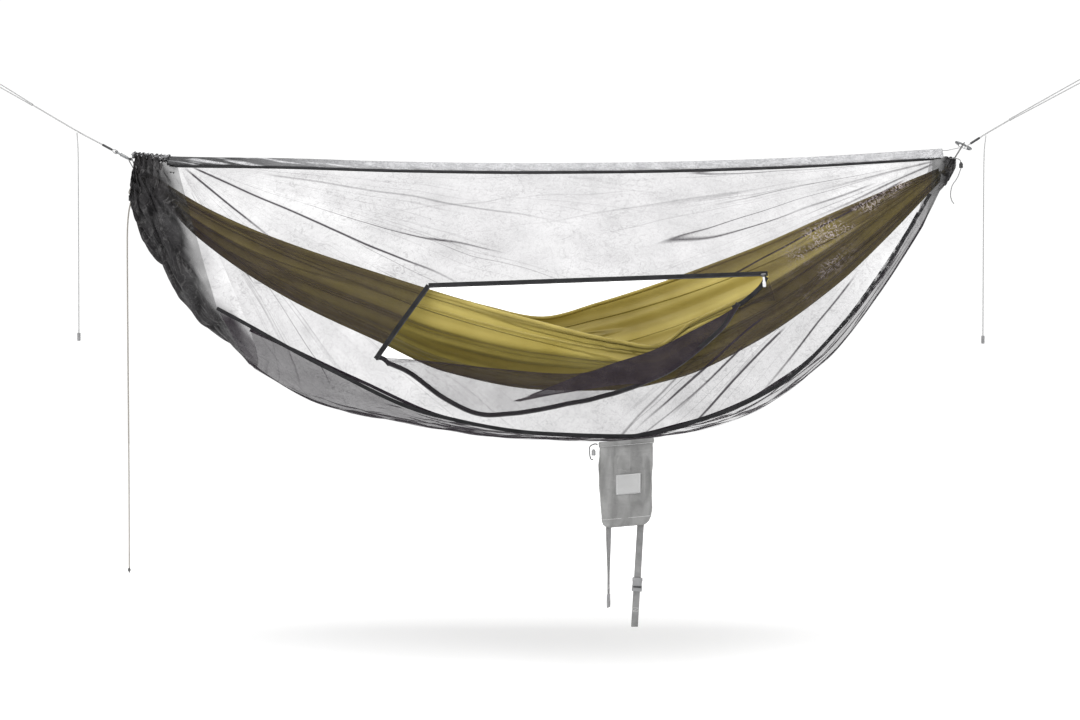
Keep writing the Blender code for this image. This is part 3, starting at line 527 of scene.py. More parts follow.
def hammock_nylon(name, dark, light):
    """The hammock's cloth: folds that run its length and close up at its ends, with painted shade in their
    hollows and painted dark lines on their creases, crinkles and a fine weave.
    """
    m = Mixer(name)
    m.set(Sheen_Weight=0.06, Sheen_Roughness=0.35, Specular_IOR_Level=0.25)
    x, _, _ = m.parts()
    across = m.value("across")
    broad_place = m.joined(m.times(across, 8.0), m.times(x, 0.9), 0.0)
    broad = m.noise(1.0, 1.0, broad_place)
    sharp_place = m.joined(m.times(across, 9.0), x, 4.0)
    sharp = m.creases(m.noise(1.0, 0.0, sharp_place), 0.030)
    crinkles = m.noise(34.0, 5.0, m.stretched((0.5, 1.0, 1.0)), 0.8)
    colour = m.mottled(4.0, 4.0, dark, light)
    # Painted shade: dark lines along the sharp creases.
    colour = m.mixed(colour, tuple(0.50 * c for c in dark), m.times(sharp, 0.55))
    # Painted shade: the colour darkens in the hollows of the broad folds.
    colour = m.tint(colour, m.ramp(broad, 0.36, 0.60, (0.62, 0.60, 0.51), WHITE), 1.0)
    normal = m.bump(broad, 1.0, 0.034)
    normal = m.bump(sharp, 0.8, 0.004, normal)
    normal = m.bump(crinkles, 0.35, 0.003, normal)
    return m.finish(colour, m.ripstop(normal), m.span(crinkles, 0.3, 0.7, 0.42, 0.55))


# Long sharp folds in the near wall: the corner they fan from, their angle under level there in radians, the
# reach where each starts and ends in metres, and how much light it holds back.
SHARP_FOLDS = [(LEFT_CORNER, 0.42, 0.06, 1.05, 0.46), (LEFT_CORNER, 0.655, 0.05, 0.52, 0.50),
               (LEFT_CORNER, 0.17, 0.30, 1.30, 0.16), (RIGHT_CORNER, 0.492, 0.15, 1.25, 0.40),
               (RIGHT_CORNER, 0.345, 0.25, 0.66, 0.26), (RIGHT_CORNER, 0.250, 0.02, 0.46, 0.24),
               (RIGHT_CORNER, 0.425, 0.02, 0.52, 0.30), (RIGHT_CORNER, 0.695, 0.80, 1.34, 0.50),
               (RIGHT_CORNER, 0.725, 0.90, 1.24, 0.40), (RIGHT_CORNER, 0.775, 0.78, 1.28, 0.46),
               (RIGHT_CORNER, 0.860, 0.50, 1.05, 0.34)]
# Faint folds in every wall: how closely they lie, how wide each is, and its share of the full strength.
FAINT_FOLDS = [(9.0, 0.007, 1.0), (23.0, 0.014, 0.35)]
FOLD_WANDER = 0.045             # how far a fold strays from its straight line, in radians


def from_corner(m, corner):
    """How far a place is from a corner of the net, and its angle under level there."""
    x, _, z = m.parts()
    over = m.apart(x, corner[0])
    under = m.minus(corner[1], z)
    reach = m.maths("SQRT", m.plus(m.times(over, over), m.times(under, under)))
    return reach, m.maths("ARCTAN2", under, over)


def fanned_folds(m, shut, corner, wrinkled, sharp):
    """Adds what the folds that fan out from a corner hold back: the faint ones and, if wanted, the sharp."""
    reach, angle = from_corner(m, corner)
    _, y, _ = m.parts()
    wander = m.times_plus(m.noise(3.0, 1.0), FOLD_WANDER, angle)
    strength = m.span(reach, 0.10, 1.9, 0.50 * wrinkled, 0.0)
    for count, width, share in FAINT_FOLDS:
        side = m.times(m.maths("SIGN", y), 7.7 + corner[0] + count)
        fan_place = m.joined(m.times(wander, count), m.times(reach, 0.22), side)
        lines = m.creases(m.noise(1.0, 0.0, fan_place), width)
        broken = m.joined(m.times(angle, count * 0.6), m.times(reach, 1.6), side)
        shown = m.span(m.noise(1.0, 1.0, broken), 0.46, 0.56, 0.0, 1.0)
        shut = m.times_plus(m.times(m.times(lines, shown), strength), share, shut)
    if not sharp:
        return shut
    for _, at, start, end, held in [fold for fold in SHARP_FOLDS if fold[0] == corner]:
        off = m.times(m.apart(wander, at + FOLD_WANDER / 2), reach)
        begun = m.span(reach, start, start + 0.05, 0.0, 1.0)
        fold = m.times(m.span(off, 0.0012, 0.0042, held, 0.0), begun)
        shut = m.times_plus(fold, m.span(reach, end - 0.25, end, 1.0, 0.0), shut)
    return shut


def painted_highlight_flecks(m):
    """Painted highlights: pale flecks where light catches the crumples, in two bands of folds under the
    right corner.
    """
    reach, angle = from_corner(m, RIGHT_CORNER)
    upper = m.times(m.window(angle, 0.43, 0.52, 0.57, 0.66), m.window(reach, 0.10, 0.18, 0.50, 0.72))
    lower = m.times(m.window(angle, 0.66, 0.71, 0.75, 0.80), m.window(reach, 0.42, 0.52, 0.62, 0.70))
    bands = m.maths("MAXIMUM", upper, m.times(lower, 0.6))
    flecks = m.times(m.creases(m.noise(42.0, 3.0, distortion=2.2), 0.050), bands)
    return m.times(flecks, m.span(m.noise(14.0, 3.0), 0.40, 0.56, 0.15, 1.0))


def insect_mesh(name, layer, wrinkled, dark, light, specks=False, edge=False):
    """See-through mesh. One flat layer holds back the share "layer" of the light, and folds hold back more.

    Long fine folds fan out from the net's two pinned corners, over a finer crumple.
    """
    m = Mixer(name)
    m.set(Specular_IOR_Level=0.08, Roughness=0.8)
    crumple = m.creases(m.noise(15.0, 3.0, m.stretched((1.0, 1.0, 1.7), (0.0, 0.5, 0.0)), 1.5), 0.018)
    fine = m.creases(m.noise(48.0, 3.0, distortion=1.0), 0.040)
    patches = m.span(m.noise(3.2, 2.0), 0.42, 0.62, 0.10, 1.0)
    shut = m.times_plus(m.times(crumple, patches), 0.10 * wrinkled, layer)
    shut = m.times_plus(fine, 0.035 * wrinkled, shut)
    shut = m.plus(shut, m.span(m.noise(8.0, 5.0), 0.3, 0.7, -0.025, 0.025))
    for corner in (LEFT_CORNER, RIGHT_CORNER):
        shut = fanned_folds(m, shut, corner, wrinkled, specks)
    shut = m.times_plus(m.value("gathered"), 0.05 * wrinkled, shut)
    shut = m.plus(shut, m.value("extra"))
    colour = m.mottled(22.0, 4.0, dark, light)
    if specks:
        # Painted highlights: pale flecks on the lit crumples under the right corner.
        flecks = painted_highlight_flecks(m)
        colour = m.mixed(colour, (0.44, 0.38, 0.365), flecks)
        shut = m.times_plus(flecks, 0.46, shut)
    if edge:
        below = m.value("below_crease")
        doubled = m.value("doubled")
        shut = m.times(shut, m.span(below, -0.001, 0.001, 0.03, 1.0))
        shut = m.plus(shut, m.span(m.apart(below, 0.002), 0.0, 0.0035, 0.30, 0.0))
        layers = m.plus(m.span(doubled, -0.001, 0.001, 0.0, 0.60),
                        m.span(m.apart(doubled, 0.002), 0.0, 0.003, 0.22, 0.0))
        shut = m.times_plus(layers, m.span(below, -0.001, 0.001, 0.0, 1.0), shut)
    normal = m.bump(m.noise(60.0, 5.0), 0.5, 0.003)
    return m.finish(colour, normal, None, m.limited(shut, 0.97))


def bunched_mesh(name):
    """Many layers of mesh pushed together: dark, with painted shade in the rolls' valleys, painted
    highlights on the creases and the odd thin place.
    """
    m = Mixer(name)
    m.set(Specular_IOR_Level=0.16, Roughness=0.6)
    valley = m.value("gathered")
    large = m.noise(13.0, 3.0, m.stretched((1.0, 1.0, 0.7), (0.0, 0.6, 0.0)), 1.2)
    creases = m.creases(large, 0.020)
    small = m.creases(m.noise(34.0, 3.0, distortion=1.4), 0.030)
    # Painted shade: the colour is darkest in the valleys of the rolls.
    tone = m.times_plus(m.minus(1.0, valley), 0.55, m.span(m.noise(16.0, 4.0), 0.3, 0.7, 0.0, 0.45))
    colour = m.ramp(tone, 0.1, 0.95, (0.003, 0.0026, 0.003), (0.020, 0.0185, 0.020))
    # Painted highlights: paler lines on the crests of the large and small creases.
    colour = m.mixed(colour, (0.13, 0.125, 0.125), m.times(creases, 0.42))
    colour = m.mixed(colour, (0.08, 0.077, 0.077), m.times(small, 0.30))
    shut = m.times_plus(valley, 0.04, 0.945)
    shut = m.plus(shut, m.span(m.noise(11.0, 3.0), 0.35, 0.65, -0.04, 0.03))
    shut = m.plus(shut, m.value("extra"))
    normal = m.bump(large, 1.0, 0.020)
    normal = m.bump(m.noise(60.0, 4.0), 0.5, 0.004, normal)
    return m.finish(colour, normal, None, m.limited(shut, 0.99))


def ridge_silver(name, bunched=False):
    """Silvery proofed nylon, gathered into slanting creases where the net pulls at its left end, with
    painted shade in them.
    """
    m = Mixer(name)
    m.set(Sheen_Weight=0.03, Specular_IOR_Level=0.35)
    x, _, z = m.parts()
    leaning = m.times(m.times_plus(x, 0.15, z), 75.0)
    folds = m.noise(1.0, 1.0, m.joined(m.times(x, 7.0), 0.0, leaning), 0.3)
    # Painted shade: dark patches in the ruffle, or dark slanting streaks in the creases at the left end.
    if bunched:
        shade = m.span(m.noise(75.0, 3.0, distortion=1.2), 0.50, 0.60, 1.0, 0.10)
    else:
        shade = m.times(m.span(folds, 0.54, 0.64, 1.0, 0.0), m.span(x, 0.80, 1.35, 1.0, 0.05))
    crinkle = m.creases(m.noise(70.0, 4.0, distortion=1.5), 0.05)
    colour = m.mottled(25.0, 3.0, (0.36, 0.36, 0.37), (0.50, 0.50, 0.51))
    colour = m.mixed(colour, (0.008, 0.008, 0.009), m.times(shade, 0.97))
    # Painted shade: darker lines in the crinkles.
    colour = m.mixed(colour, (0.16, 0.16, 0.165), m.times(crinkle, 0.5))
    normal = m.bump(folds, 0.8, 0.006)
    normal = m.bump(crinkle, 0.5, 0.002, normal)
    return m.finish(colour, normal, m.span(folds, 0.3, 0.7, 0.35, 0.5))


def webbing(name, dark, light, rib=420.0, rough=0.8, sheen=0.2, open_from=None):
    """Woven tape: fine ribs across it and fainter ones along it, thinner and uneven past open_from."""
    m = Mixer(name)
    m.set(Sheen_Weight=sheen, Sheen_Roughness=0.5, Specular_IOR_Level=0.2)
    ribs = m.wave(rib, "Z")
    colour = m.mottled(30.0, 5.0, dark, light)
    colour = m.tint(colour, m.ramp(ribs, 0.0, 1.0, (0.72, 0.72, 0.72), WHITE), 0.7)
    across = m.bump(ribs, 0.5, 0.0006)
    normal = m.bump(m.wave(rib * 0.9, "X"), 0.25, 0.0004, across)
    shut = None
    if open_from is not None:
        x, _, _ = m.parts()
        begun = m.span(x, open_from, open_from + 0.30, 0.0, 1.0)
        holes = m.span(m.noise(38.0, 4.0, distortion=0.6), 0.40, 0.60, 0.10, 0.68)
        shut = m.minus(1.0, m.times(begun, holes))
    return m.finish(colour, normal, m.span(ribs, 0.0, 1.0, rough, rough - 0.12), shut)


def braid(name, dark, light):
    """Braided cord: two slanted sets of strands."""
    m = Mixer(name)
    m.set(Sheen_Weight=0.2, Sheen_Roughness=0.5, Specular_IOR_Level=0.25)
    one = m.wave(170.0, "DIAGONAL")
    two = m.wave(170.0, "DIAGONAL", m.stretched((-1.0, 1.0, 1.0)))
    strands = m.maths("MAXIMUM", one, two)
    colour = m.ramp(strands, 0.1, 0.9, dark, light)
    normal = m.bump(strands, 0.6, 0.0006)
    return m.finish(colour, normal, m.span(m.noise(40.0), 0.3, 0.7, 0.7, 0.85))


def moulding(name, dark, light, rough=0.42):
    """Injection-moulded plastic with a fine grain and slightly polished wear."""
    m = Mixer(name)
    m.set(Specular_IOR_Level=0.45)
    wear = m.noise(35.0, 4.0)
    colour = m.ramp(wear, 0.35, 0.7, dark, light)
    normal = m.bump(m.noise(1800.0, 2.0), 0.12, 0.0003)
    return m.finish(colour, normal, m.span(wear, 0.3, 0.7, rough + 0.08, rough - 0.08))


def metal(name, dark, light, rough):
    """Tumbled or drawn metal with fine scratches along it."""
    m = Mixer(name)
    m.set(Metallic=1.0)
    scratches = m.noise(240.0, 4.0, m.stretched((0.2, 1.0, 1.0)))
    colour = m.mottled(60.0, 3.0, dark, light)
    normal = m.bump(scratches, 0.15, 0.0002)
    return m.finish(colour, normal, m.span(scratches, 0.3, 0.7, rough - 0.07, rough + 0.09))


def glowing_floor():
    """White studio paper that glows with painted light: brighter away from the object, as a lit sweep is,
    and far brighter where the camera sees it through the mesh.
    """
    m = Mixer("studio_floor")
    m.set(Base_Color=(0.90, 0.90, 0.90, 1.0), Roughness=0.9, Specular_IOR_Level=0.0,
          Emission_Color=(*WHITE, 1.0))
    x, y, _ = m.parts()
    away = m.maths("SQRT", m.plus(m.times(x, x), m.times(y, y)))
    path = m.add("ShaderNodeLightPath")
    behind_mesh = m.maths("MINIMUM", path.outputs["Transparent Depth"], 1.0)
    seen_through = m.times(path.outputs["Is Camera Ray"], behind_mesh)
    # Painted light: the floor glows, brighter away from the object and far brighter where the camera sees it
    # through the mesh.
    glow = m.times_plus(seen_through, 3.3, m.span(away, 1.2, 3.6, 0.27, 0.75))
    m.join(glow, m.shader.inputs["Emission Strength"])
    return m.material


olive = nylon("olive_nylon_cloth", (0.29, 0.225, 0.045), (0.40, 0.32, 0.075), 0.35, 0.46, 0.45)
hammock_olive = hammock_nylon("hammock_nylon_cloth", (0.315, 0.246, 0.046), (0.485, 0.397, 0.114))
wall_mesh = insect_mesh("dark_mesh_cloth", 0.55, 1.0, (0.017, 0.013, 0.018), (0.031, 0.025, 0.031))
near_mesh = insect_mesh("near_mesh_cloth", 0.55, 1.25, (0.017, 0.013, 0.018), (0.031, 0.025, 0.031),
                        specks=True)
flap_mesh = insect_mesh("flap_mesh_cloth", 0.28, 0.7, (0.016, 0.012, 0.016), (0.032, 0.026, 0.030),
                        edge=True)
slack_mesh = insect_mesh("slack_mesh_cloth", 0.28, 0.4, (0.016, 0.012, 0.016), (0.032, 0.026, 0.030))
bunch_mesh = bunched_mesh("bunched_mesh_cloth")
silver = nylon("silver_nylon_cloth", (0.40, 0.40, 0.41), (0.60, 0.60, 0.61), 0.1, 0.42, 0.9)
silver_strip = ridge_silver("silver_strip_cloth")
silver_ruffle = ridge_silver("silver_ruffle_cloth", bunched=True)
label_cloth = nylon("label_cloth", (0.30, 0.30, 0.30), (0.38, 0.38, 0.38), 0.1, 0.6, 0.4)
tape = webbing("black_tape_weave", (0.007, 0.007, 0.008), (0.020, 0.020, 0.022), sheen=0.03)
seam_tape = webbing("seam_tape_weave", (0.007, 0.007, 0.008), (0.020, 0.020, 0.022), sheen=0.03,
                    open_from=2.45)
cord_grey = braid("grey_cord_braid", (0.17, 0.17, 0.17), (0.42, 0.42, 0.42))
cord_dark = braid("dark_cord_braid", (0.06, 0.06, 0.06), (0.16, 0.16, 0.16))
cord_beige = braid("beige_cord_braid", (0.13, 0.12, 0.105), (0.38, 0.355, 0.32))
black_plastic = moulding("black_plastic_grain", (0.014, 0.014, 0.015), (0.030, 0.030, 0.032))
grey_plastic = moulding("grey_plastic_grain", (0.20, 0.20, 0.205), (0.29, 0.29, 0.295))
aluminium = metal("aluminium_rod", (0.13, 0.135, 0.14), (0.24, 0.245, 0.25), 0.30)
steel = metal("spring_steel_wire", (0.16, 0.16, 0.165), (0.28, 0.28, 0.285), 0.25)
sack_nylon = nylon("grey_nylon_cloth", (0.160, 0.160, 0.157), (0.278, 0.278, 0.274), 0.1, 0.42, 1.0, 0.85)
strap_weave = webbing("grey_webbing_weave", (0.20, 0.20, 0.20), (0.30, 0.30, 0.30), 520.0)
stitch_thread = braid("stitch_thread", (0.42, 0.42, 0.42), (0.62, 0.62, 0.62))


# ---------------------------------------------------------------- camera
LENS = 52.08                    # millimetres, on a sensor 36 mm wide
EYE_DISTANCE = 5.0
EYE_HEIGHT = -0.906


def make_camera():
    data = bpy.data.cameras.new("camera")
    data.sensor_width = 36.0
    data.lens = LENS
    camera = bpy.data.objects.new("camera", data)
    camera.location = (MIDDLE_X, -EYE_DISTANCE, EYE_HEIGHT)
    camera.rotation_euler = (math.radians(90), 0.0, 0.0)
    bpy.context.scene.collection.objects.link(camera)
    bpy.context.scene.camera = camera


make_camera()


# ---------------------------------------------------------------- suspension and cords
HOOK_ROD = 0.0031
GATE_WIRE = 0.0010
GATE_PIVOT = (0.0145, 0.0125)
SPINE_Y = -0.0145
OUTER_BAR_X = 0.0008
INNER_BAR_X = 0.0530
SLEEVE_LENGTH = 0.036
EYE_CORD = 0.0016
SLING_CORD = 0.0019
SPLICE_CORD = 0.0024
EYE_REACH = 0.0140
EYE_TO_FITTING = 0.0024
GAP = 0.0003
TAIL_LENGTH = 0.642


def hook_turn(end, along, shift_y):
    along = Vector(along).normalized()
    across = FORE_AND_AFT
    turn = Matrix((along, across, along.cross(across))).transposed().to_4x4()
    turn.translation = Vector(end) + across * shift_y
    return turn


def carabiner(side, turn):
    bends = [GATE_PIVOT, (0.0060, 0.0105), (OUTER_BAR_X, 0.0035), (OUTER_BAR_X, -0.0045),
             (0.0060, -0.0110), (0.0160, -0.0140), (0.0390, SPINE_Y), (0.0495, -0.0110),
             (INNER_BAR_X, -0.0030), (0.0528, 0.0060), (0.0498, 0.0115), (0.0430, 0.0138)]
    points = [turn @ p for p in route([(x, y, 0.0) for x, y in bends], 60)]
    rod = cord_piece(side + "_hook", points, HOOK_ROD, aluminium)
    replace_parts(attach(rod, ROOT), side + "_carabiner")
    flank = HOOK_ROD + GATE_WIRE + GAP
    half = [(0.0, 0.0, flank), (0.0105, -0.0007, flank), (0.0225, -0.0025, flank * 0.86),
            (0.0290, -0.0042, flank * 0.6), (0.0310, -0.0045, 0.0)]
    other = [(x, y, -z) for x, y, z in reversed(half[:-1])]
    shift = Vector((*GATE_PIVOT, 0.0))
    points = [turn @ (p + shift) for p in route(half + other, 40)]
    wire = cord_piece(side + "_hook_gate", points, GATE_WIRE, steel)
    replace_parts(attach(wire, side + "_gate"), side + "_carabiner_gate")
    pin = [turn @ (shift + Vector((0.0, 0.0, z))) for z in (-flank - 0.0016, flank + 0.0016)]
    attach(cord_piece(side + "_hook_pin", pin, 0.0011, steel), ROOT)


def loop_round(bar, face, sideways, bend):
    """A cord loop round a bar whose two legs meet at a face."""
    bar, face = Vector(bar), Vector(face)
    towards = (face - bar).normalized()
    arc = []
    for k in range(17):
        a = math.radians(-90 + 11.25 * k)
        arc.append(bar - towards * bend * math.cos(a) + sideways * bend * math.sin(a))
    past = bar + towards * bend
    close = sideways * (EYE_CORD + 0.0002)
    return [face - close, past - sideways * bend] + arc + [past + sideways * bend, face + close]


def sleeve_piece(name, start, end, radius, mat):
    """A short tube shrunk over the cord, with soft ends."""
    start, end = Vector(start), Vector(end)
    length = (end - start).length
    profile = [(0.0, length), (radius * 0.72, length), (radius * 0.95, length - 0.0016),
               (radius, length * 0.75), (radius * 0.96, length * 0.5), (radius, length * 0.25),
               (radius * 0.95, 0.0016), (radius * 0.72, 0.0), (0.0, 0.0)]
    piece = lathe(name, profile, (0.0, 0.0, 0.0), mat)
    turn = (end - start).to_track_quat("Z", "Y").to_matrix().to_4x4()
    turn.translation = start
    piece.data.transform(turn)
    return piece


def sling(side, anchor, merge, tail_top, bar, sideways, bend, sway):
    """All the cords and fittings between an anchor and the bar that its eye goes round."""
    anchor, merge, tail_top, bar = Vector(anchor), Vector(merge), Vector(tail_top), Vector(bar)
    outward = (tail_top - bar).normalized()
    sleeve_end = bar + outward * EYE_REACH
    sleeve_start = sleeve_end + outward * SLEEVE_LENGTH
    eye = loop_round(bar, sleeve_end - outward * EYE_TO_FITTING * 0.3, sideways, bend)
    piece = cord_piece(side + "_eye_cord", spread(eye, 48), EYE_CORD, cord_grey)
    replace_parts(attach(piece, ROOT), side + "_sling_eye")
    piece = sleeve_piece(side + "_splice_cover", sleeve_start, sleeve_end, 0.0038, black_plastic)
    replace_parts(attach(piece, ROOT), side + "_splice_sleeve")
    line = route([merge, tail_top, sleeve_start + outward * GAP], 30)
    piece = cord_piece(side + "_line_cord", line, SPLICE_CORD, cord_grey)
    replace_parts(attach(piece, ROOT), side + "_sling_line")

    to_merge = (merge - anchor).normalized()
    up = FORE_AND_AFT.cross(to_merge).normalized()
    if up.z < 0:
        up = -up
    last = merge - to_merge * (GAP * 2)
    near_end = SLING_CORD + GAP
    upper = [last + up * near_end, last.lerp(anchor, 0.5) + up * 0.0040,
             anchor + to_merge * 0.004 + up * 0.0052]
    bend_points = [anchor - to_merge * 0.0036 + up * 0.0036, anchor - to_merge * 0.0052,
                   anchor - to_merge * 0.0036 - up * 0.0036]
    lower = [anchor + to_merge * 0.004 - up * 0.0052, last.lerp(anchor, 0.5) - up * 0.0040,
             last - up * near_end]
    piece = cord_piece(side + "_loop_cord", route(upper + bend_points + lower, 60), SLING_CORD,
                       cord_grey)
    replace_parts(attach(piece, ROOT), side + "_sling_loop")
    wrap = merge + to_merge * 0.0040
    piece = sleeve_piece(side + "_merge_wrap", wrap - to_merge * 0.010, wrap + to_merge * 0.010,
                         0.0044, cord_grey)
    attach(piece, ROOT)

    start = tail_top - Vector((0.0, 0.0, (SPLICE_CORD + SLING_CORD) * 1.35))
    drop = [start, start + Vector((sway, 0.0, -0.07)), start + Vector((sway * 1.3, 0.0, -0.28)),
            start + Vector((sway * 1.6, 0.0, -TAIL_LENGTH))]
    tail = cord_piece(side + "_tail_cord", route(drop, 36), SLING_CORD * 0.9, cord_grey)
    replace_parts(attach(tail, ROOT), side + "_sling_tail")
    end = Vector(drop[-1])
    cap = sleeve_piece(side + "_tail_cap", end - Vector((0.0, 0.0, 0.024)),
                       end + Vector((0.0, 0.0, 0.002)), 0.0052, grey_plastic)
    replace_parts(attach(cap, ROOT), side + "_tail_sleeve")


def end_bundle(side, inner, outer):
    """The whipped bundle of pleats at an end of the hammock."""
    inner, outer = Vector(inner), Vector(outer)
    length = (outer - inner).length
    stations = [(0.0, 0.0115), (0.15, 0.0108), (0.40, 0.0084), (0.50, 0.0072), (0.60, 0.0084),
                (0.80, 0.0094), (1.0, 0.0098)]
    turn = (outer - inner).to_track_quat("Z", "Y").to_matrix().to_4x4()
    turn.translation = inner
    around, pleats = 72, 12
    rows = []
    for share, radius in stations:
        row = []
        for k in range(around):
            a = 2 * math.pi * k / around
            pleat = 1.0 + 0.13 * math.sin(a * pleats + 2.0 * math.sin(3 * a))
            row.append(turn @ Vector((radius * pleat * math.cos(a), radius * pleat * math.sin(a),
                                      length * share)))
        rows.append(row)
    piece = loft(side + "_bundle", rows, olive, ring=True, cap=True)
    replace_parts(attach(piece, ROOT), side + "_end_gather")
    wraps = []
    wrap_radius, wrap_count, points_each = 0.0086, 4, 18
    for k in range(wrap_count * points_each + 1):
        a = 2 * math.pi * k / points_each
        z = length * (0.42 + 0.16 * k / (wrap_count * points_each))
        wraps.append(turn @ Vector((wrap_radius * math.cos(a), wrap_radius * math.sin(a), z)))
    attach(cord_piece(side + "_whipping", wraps, 0.0008, cord_dark), ROOT)


def hammock_loop(side, bar, face, sideways, bend):
    loop = spread(loop_round(bar, face, sideways, bend), 48)
    piece = cord_piece(side + "_end_loop", loop, EYE_CORD, cord_dark)
    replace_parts(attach(piece, ROOT), side + "_hammock_loop")


def left_suspension():
    hinge_end = Vector((0.418, 0.0, -0.240))
    along = Vector((0.052, 0.0, -0.028)).normalized()
    carabiner("left", hook_turn(hinge_end, along, 0.0))
    normal = along.cross(FORE_AND_AFT)
    bend = HOOK_ROD + EYE_CORD + 2 * GAP
    sling("left", LEFT_ANCHOR, (0.140, 0.0, -0.083), (0.293, 0.0, -0.173),
          hinge_end + along * OUTER_BAR_X, normal, bend, 0.004)
    inner, outer = Vector((0.512, 0.0, -0.321)), Vector((0.484, 0.0, -0.3055))
    end_bundle("left", inner, outer)
    face = outer + (outer - inner).normalized() * EYE_TO_FITTING * 0.3
    bar = hinge_end + along * INNER_BAR_X
    hammock_loop("left", bar, face, (face - bar).cross(FORE_AND_AFT).normalized(), bend)


def right_suspension():
    """Here the carabiner hangs crosswise, and both cords pull on its spine."""
    hinge_end = Vector((3.1095, 0.0, -0.2065))
    along = Vector((0.0449, 0.0, -0.0221)).normalized()
    carabiner("right", hook_turn(hinge_end, along, -SPINE_Y))
    across = FORE_AND_AFT
    bend = (HOOK_ROD + EYE_CORD + 2 * GAP) * 1.3
    sling("right", RIGHT_ANCHOR, (3.289, 0.0, -0.131), (3.202, 0.0, -0.182),
          hinge_end + along * 0.034, across, bend, -0.006)
    inner, outer = Vector((3.0670, 0.0, -0.3120)), Vector((3.0830, 0.0, -0.2900))
    end_bundle("right", inner, outer)
    face = outer + (outer - inner).normalized() * EYE_TO_FITTING * 0.3
    hammock_loop("right", hinge_end + along * 0.022, face, across, bend)


def cord_lock(name, base, size, plastic, body, button_body):
    """A barrel lock: a cup, and a ribbed sprung button. The coil is the part's own."""
    outer, bore, height = 0.0075 * size, 0.0052 * size, 0.0180 * size
    floor = height - 0.0125 * size
    cup = [(0.0, floor), (bore, floor), (bore, height - 0.0004), (bore + 0.0004, height),
           (outer * 0.86, height), (outer * 0.97, height * 0.96), (outer, height * 0.88),
           (outer, height * 0.56), (outer * 0.93, height * 0.53), (outer * 0.93, height * 0.47),
           (outer, height * 0.44), (outer, height * 0.12), (outer * 0.95, height * 0.03),
           (outer * 0.84, 0.0), (0.0, 0.0)]
    piece = lathe(name + "_barrel", cup, base, plastic)
    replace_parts(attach(piece, body), name)
    seat_z = floor + 0.0066 * size + 0.0006
    button_r = bore - 0.0004
    top = height + 0.0050 * size
    knob = [(0.0, top - 0.0004), (button_r * 0.5, top - 0.0003), (button_r * 0.8, top),
            (button_r * 0.95, top - 0.0005), (button_r, top - 0.0012), (button_r, seat_z),
            (0.0, seat_z)]
    piece = lathe(name + "_knob", knob, base, plastic)
    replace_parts(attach(piece, button_body), name + "_button")


LEFT_LOCK = (0.474, -0.030, -0.400)
RIGHT_LOCK = (3.117, -0.020, -0.294)


def drawcords():
    cord_lock("left_cord_lock", LEFT_LOCK, 1.0, black_plastic, ROOT,
              "left_lock_button")
    cord_lock("right_cord_lock", RIGHT_LOCK, 0.8, black_plastic, ROOT,
              "right_lock_button")
    x, y, z = LEFT_LOCK
    end = Vector((0.470, -0.036, -1.566))
    hang = [(x, y, z - 0.0008), (0.468, -0.032, -0.430), (0.4645, -0.034, -0.474),
            (0.4635, -0.035, -0.555), (0.466, -0.036, -0.900), (0.469, -0.036, -1.250), end]
    cord = cord_piece("left_draw_cord", route(hang, 40), 0.0023, cord_beige)
    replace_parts(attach(cord, ROOT), "left_drawcord")
    knot = knot_piece("left_draw_knot", end, 0.0062, cord_dark)
    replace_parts(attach(knot, ROOT), "left_drawcord_knot")
    x, y, z = RIGHT_LOCK
    hang = [(x, y, z - 0.0006), (3.104, -0.026, -0.325), (3.086, -0.030, -0.352),
            (3.081, -0.030, -0.380), (3.085, -0.030, -0.399), (3.092, -0.030, -0.409)]
    cord = cord_piece("right_draw_cord", route(hang, 24), 0.0013, cord_dark)
    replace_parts(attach(cord, ROOT), "right_drawcord")


def gather_cords():
    """The drawcords that close both ends of the net, where they come out to their locks."""
    left = [(0.482, 0.018, -0.330), (0.470, -0.006, -0.352), (0.466, -0.024, -0.372),
            (0.474, -0.030, -0.382)]
    right = [(3.084, -0.010, -0.262), (3.100, -0.017, -0.263), (3.113, -0.020, -0.268),
             (3.117, -0.020, -0.279)]
    for side, points, radius, mat, slot in (("left", left, 0.0020, cord_beige, "beige_cord"),
                                            ("right", right, 0.0013, cord_dark, "black_tape")):
        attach(cord_piece(side + "_gather_cord", route(points, 16), radius, mat), ROOT)


def knot_piece(name, end, size, mat):
    """An overhand knot pulled tight, with a short frayed end below it."""
    turns = []
    for k in range(64):
        a = 2 * math.pi * k / 64 * 2.5
        share = k / 63
        radius = size * 0.52 * math.sin(math.pi * share) ** 0.4
        turns.append(end + Vector((radius * math.cos(a), radius * math.sin(a), -0.0018 - 0.0092 * share)))
    turns.append(end + Vector((0.0005, 0.0, -0.0155)))
    return cord_piece(name, turns, 0.0021, mat)


left_suspension()
right_suspension()
drawcords()
gather_cords()


# ---------------------------------------------------------------- the net's surfaces
def wall_y(x, z):
    """Distance of the net's side wall from the middle plane, at a place on it."""
    depth = min(max((ridge_z(x) - z) / NET_DROP, 0.0), 1.0)
    return net_half_width(x) * (1.0 - (1.0 - depth) ** 2)


def edge_x(edge, z):
    at_ridge, per_depth = edge
    return at_ridge + per_depth * (ridge_z(at_ridge) - z)


def seam_end(edge):
    """Where the lower seam meets a slanted end, found by stepping to the crossing."""
    x = edge_x(edge, -0.6)
    for _ in range(40):
        x = 0.5 * (x + edge_x(edge, seam_z(x)))
    return x


SEAM_LEFT = seam_end(LEFT_EDGE)
SEAM_RIGHT = seam_end(RIGHT_EDGE)


def fan(x, z, corner, count, seed):
    """Folds that fan out from a pinned corner of the net, and how near the corner is."""
    dx, dz = x - corner[0], z - corner[1]
    reach = math.hypot(dx, dz)
    angle = math.atan2(-dz, abs(dx) + 1e-6)
    wide = crest(ripple(angle * count, reach * 1.4, seed), 3.6)
    fine = crest(ripple(angle * count * 2.4, reach * 2.6, seed + 7.3), 4.6)
    return math.exp(-reach / 0.85), max(wide, 0.7 * fine)


